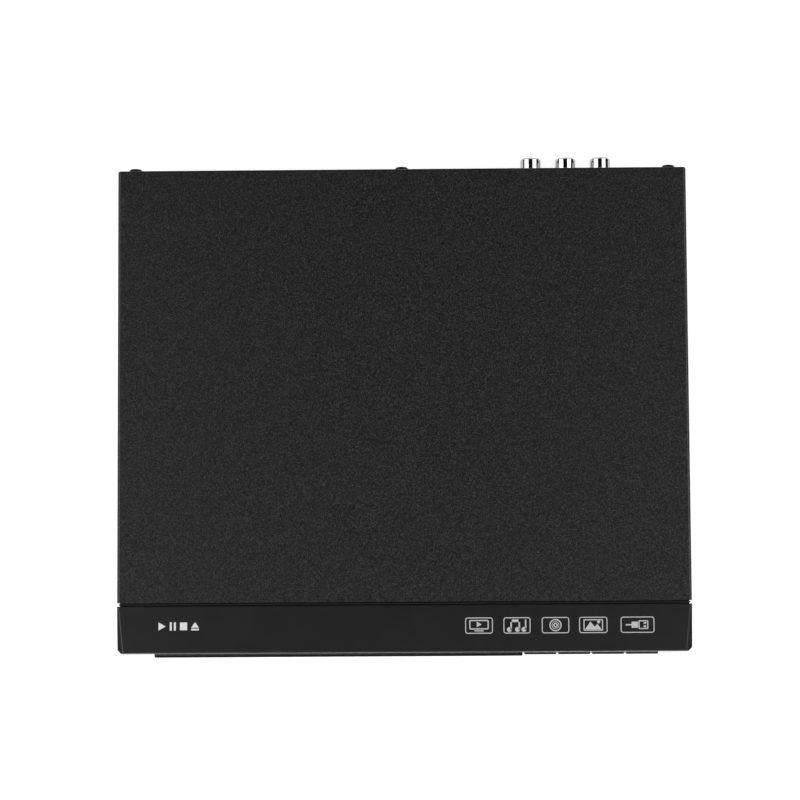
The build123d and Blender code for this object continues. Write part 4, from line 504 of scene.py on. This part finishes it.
# Two notes under one beam, and a third beside them
signs.at(notes_x, BOX_MID)
for left, right, low in ((-2.6, -2.0, -1.7), (0.6, 1.2, -1.7), (-2.6, 1.2, 1.3), (3.1, 3.65, -1.7)):
    signs.shape(box_points(left, right, low, 2.3))
for head_x in (-3.0, 0.2, 2.7):
    signs.shape(circle(head_x, -1.6, 0.95))

# A disc with its hole and two tracks
signs.at(disc_x, BOX_MID)
for radius, line in ((2.4, 0.45), (1.5, 0.25), (0.9, 0.5)):
    signs.loop(radius, line)

# A framed picture with a sun over two hills
signs.at(picture_x, BOX_MID)
signs.frame(-3.8, 3.8, -2.2, 2.2, 0.4, 0.3)
signs.shape([(-3.2, -1.7), (3.2, -1.7), (1.6, 0.4), (0.6, -0.7), (-1.1, 1.3)])
signs.shape(circle(2.1, 1.2, 0.6))

# A flat plug on its lead
signs.at(plug_x, BOX_MID)
signs.frame(0.4, 4.2, -1.7, 1.7, 0.4, 0.4)
for low in (-1.0, 0.3):
    signs.shape(box_points(2.4, 3.4, low, low + 0.7))
signs.shape(box_points(-2.3, 0.2, -1.2, 1.2))
signs.shape(box_points(-4.6, -2.3, -0.25, 0.25))
signs.place("bezel_framed_signs", "casing", ink.material, on_bezel)


def on_key(name):
    low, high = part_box(name)
    centre_x = (low.x + high.x) / 2 / MM
    centre_z = (low.z + high.z) / 2 / MM
    front_y = low.y / MM

    def where(x, y, lift):
        return (centre_x + x, front_y - lift, centre_z + y)

    return where


eject = Print().shape([(-1.7, -0.4), (1.7, -0.4), (0, 1.6)]).shape(box_points(-1.7, 1.7, -1.5, -0.9))
play_pause = Print().shape([(-2.2, -1.5), (0.2, 0), (-2.2, 1.5)])
play_pause.shape(box_points(0.8, 1.4, -1.5, 1.5)).shape(box_points(1.9, 2.5, -1.5, 1.5))
stop = Print().shape(box_points(-1.5, 1.5, -1.5, 1.5))
power = Print().ring(circle(0, -0.2, 1.7), circle(0, -0.2, 1.3)).shape(box_points(-0.2, 0.2, -0.3, 1.8))
key_prints = {"open_close": eject, "play": play_pause, "stop": stop, "power": power}
for body, printed in key_prints.items():
    printed.place(body + "_sign", body, dim_ink.material, on_key(body + "_key"))


# Studio, in metres: a white table and backdrop, softboxes at both sides and in front, and dark cards that
# shape reflections
FLOOR_REACH = 9
PAPER = 0.72
PAPER_GLOW = 0.75
GLOW_NEAR = 0.35
GLOW_FAR = 1.2
WORLD_LIGHT = 0.10
SIDE_ANGLE = radians(50)
SIDE_HALF_ANGLE = radians(27)
SIDE_REACH = 1.25
SIDE_LENGTH = 1.0
SIDE_SHIFT = -0.15
SIDE_RADIANCE = 2.15
FRONT_PLACE = (-0.26, -1.4, 0.75)
FRONT_SIZE = (0.60, 0.45)
FRONT_RADIANCE = 9.0
CEILING_HEIGHT = 1.35
CEILING_SIDE = 0.56
CEILING_FRONT = -0.30
CEILING_REAR = 0.75
SIDE_CARD_X = 0.22
SIDE_CARD_TOP = 0.10
FRONT_CARD_Y = -0.32
FRONT_CARD_TOP = 0.11
CARD_REACH = 0.30
CARD_TONE = 0.02
CAMERA_PLACE = (0.0108, -0.0715, 0.990)
CAMERA_TURN = (4.35, 0.745, -0.341)
CAMERA_LENS = 109.0
SENSOR_WIDTH = 36


def white_seen(tree, shader_socket, target, white):
    """Shows the white to the camera, in metal and through glass, and the plain shader to all other light."""
    path = tree.nodes.new("ShaderNodeLightPath")
    seen = path.outputs["Is Camera Ray"]
    for ray in ("Is Glossy Ray", "Is Transmission Ray"):
        either = tree.nodes.new("ShaderNodeMath")
        either.operation = "MAXIMUM"
        tree.links.new(seen, either.inputs[0])
        tree.links.new(path.outputs[ray], either.inputs[1])
        seen = either.outputs["Value"]
    mix = tree.nodes.new("ShaderNodeMixShader")
    tree.links.new(seen, mix.inputs["Fac"])
    tree.links.new(shader_socket, mix.inputs[1])
    tree.links.new(white, mix.inputs[2])
    tree.links.new(mix.outputs["Shader"], target)


world = bpy.data.worlds.new("studio")
bpy.context.scene.world = world
tree = blank_tree(world)
world_out = tree.nodes.new("ShaderNodeOutputWorld")
dim_sky = tree.nodes.new("ShaderNodeBackground")
dim_sky.inputs["Strength"].default_value = WORLD_LIGHT
backdrop = tree.nodes.new("ShaderNodeBackground")
backdrop.inputs["Strength"].default_value = 1.0
for node in (dim_sky, backdrop):
    node.inputs["Color"].default_value = WHITE
white_seen(tree, dim_sky.outputs["Background"], world_out.inputs["Surface"], backdrop.outputs["Background"])

floor_mesh = bpy.data.meshes.new("floor")
floor_corners = [(FLOOR_REACH * x, FLOOR_REACH * y, 0) for x, y in ((-1, -1), (1, -1), (1, 1), (-1, 1))]
floor_mesh.from_pydata(floor_corners, [], [(0, 1, 2, 3)])
floor = bpy.data.objects.new("floor", floor_mesh)
bpy.context.scene.collection.objects.link(floor)
floor_paper = bpy.data.materials.new("floor_paper")
tree = blank_tree(floor_paper)
paper_out = tree.nodes.new("ShaderNodeOutputMaterial")
paper = tree.nodes.new("ShaderNodeBsdfDiffuse")
paper.inputs["Color"].default_value = (*grey(PAPER), 1)
glow = tree.nodes.new("ShaderNodeEmission")
glow.inputs["Color"].default_value = WHITE
floor_coords = tree.nodes.new("ShaderNodeTexCoord")
from_middle = tree.nodes.new("ShaderNodeVectorMath")
from_middle.operation = "LENGTH"
glow_rise = tree.nodes.new("ShaderNodeMapRange")
glow_rise.inputs["From Min"].default_value = GLOW_NEAR
glow_rise.inputs["From Max"].default_value = GLOW_FAR
glow_rise.inputs["To Min"].default_value = PAPER_GLOW
glow_rise.inputs["To Max"].default_value = 1.0
tree.links.new(floor_coords.outputs["Object"], from_middle.inputs[0])
tree.links.new(from_middle.outputs["Value"], glow_rise.inputs["Value"])
tree.links.new(glow_rise.outputs["Result"], glow.inputs["Strength"])
lit = tree.nodes.new("ShaderNodeAddShader")
tree.links.new(paper.outputs["BSDF"], lit.inputs[0])
tree.links.new(glow.outputs["Emission"], lit.inputs[1])
white_seen(tree, paper.outputs["BSDF"], paper_out.inputs["Surface"], lit.outputs["Shader"])
floor_mesh.materials.append(floor_paper)

card_black = bpy.data.materials.new("card_black")
tree = blank_tree(card_black)
card_out = tree.nodes.new("ShaderNodeOutputMaterial")
card_path = tree.nodes.new("ShaderNodeLightPath")
card_felt = tree.nodes.new("ShaderNodeBsdfDiffuse")
card_felt.inputs["Color"].default_value = (*grey(CARD_TONE), 1)
card_clear = tree.nodes.new("ShaderNodeBsdfTransparent")
card_mix = tree.nodes.new("ShaderNodeMixShader")
tree.links.new(card_path.outputs["Is Glossy Ray"], card_mix.inputs["Fac"])
tree.links.new(card_clear.outputs["BSDF"], card_mix.inputs[1])
tree.links.new(card_felt.outputs["BSDF"], card_mix.inputs[2])
tree.links.new(card_mix.outputs["Shader"], card_out.inputs["Surface"])


def card(name, corners):
    """A dark card that shapes reflections, and shades neither the floor nor the object."""
    mesh = bpy.data.meshes.new(name)
    mesh.from_pydata(corners, [], [(0, 1, 2, 3)])
    mesh.materials.append(card_black)
    made = bpy.data.objects.new(name, mesh)
    bpy.context.scene.collection.objects.link(made)


def upright_card(name, start, end, top):
    card(name, [(*start, 0), (*end, 0), (*end, top), (*start, top)])


card("card_above", [
    (-CEILING_SIDE, CEILING_FRONT, CEILING_HEIGHT), (CEILING_SIDE, CEILING_FRONT, CEILING_HEIGHT),
    (CEILING_SIDE, CEILING_REAR, CEILING_HEIGHT), (-CEILING_SIDE, CEILING_REAR, CEILING_HEIGHT),
])
upright_card("card_left", (-SIDE_CARD_X, -CARD_REACH), (-SIDE_CARD_X, CARD_REACH), SIDE_CARD_TOP)
upright_card("card_right", (SIDE_CARD_X, -CARD_REACH), (SIDE_CARD_X, CARD_REACH), SIDE_CARD_TOP)
upright_card("card_front", (-CARD_REACH, FRONT_CARD_Y), (CARD_REACH, FRONT_CARD_Y), FRONT_CARD_TOP)
upright_card("card_rear", (-CEILING_SIDE, CEILING_REAR), (CEILING_SIDE, CEILING_REAR), CEILING_HEIGHT)


def softbox(name, place, turn, wide, tall, radiance):
    """An even rectangle of light that faces along its own -Z."""
    lamp = bpy.data.lights.new(name, "AREA")
    lamp.shape = "RECTANGLE"
    lamp.size = wide
    lamp.size_y = tall
    lamp.energy = radiance * pi * wide * tall
    holder = bpy.data.objects.new(name, lamp)
    bpy.context.scene.collection.objects.link(holder)
    holder.location = place
    holder.rotation_euler = turn


side_width = 2 * SIDE_REACH * tan(SIDE_HALF_ANGLE)
for side, name in ((-1, "softbox_left"), (1, "softbox_right")):
    place = (side * SIDE_REACH * sin(SIDE_ANGLE), SIDE_SHIFT, SIDE_REACH * cos(SIDE_ANGLE))
    softbox(name, place, (0, side * SIDE_ANGLE, 0), side_width, SIDE_LENGTH, SIDE_RADIANCE)
front_turn = (-Vector(FRONT_PLACE)).to_track_quat("-Z", "Y").to_euler()
softbox("softbox_front", FRONT_PLACE, front_turn, *FRONT_SIZE, FRONT_RADIANCE)

camera_data = bpy.data.cameras.new("camera")
camera_data.sensor_width = SENSOR_WIDTH
camera_data.lens = CAMERA_LENS
camera = bpy.data.objects.new("camera", camera_data)
bpy.context.scene.collection.objects.link(camera)
camera.location = CAMERA_PLACE
camera.rotation_euler = [radians(turn) for turn in CAMERA_TURN]
bpy.context.scene.camera = camera
bpy.context.scene.view_settings.view_transform = "Standard"
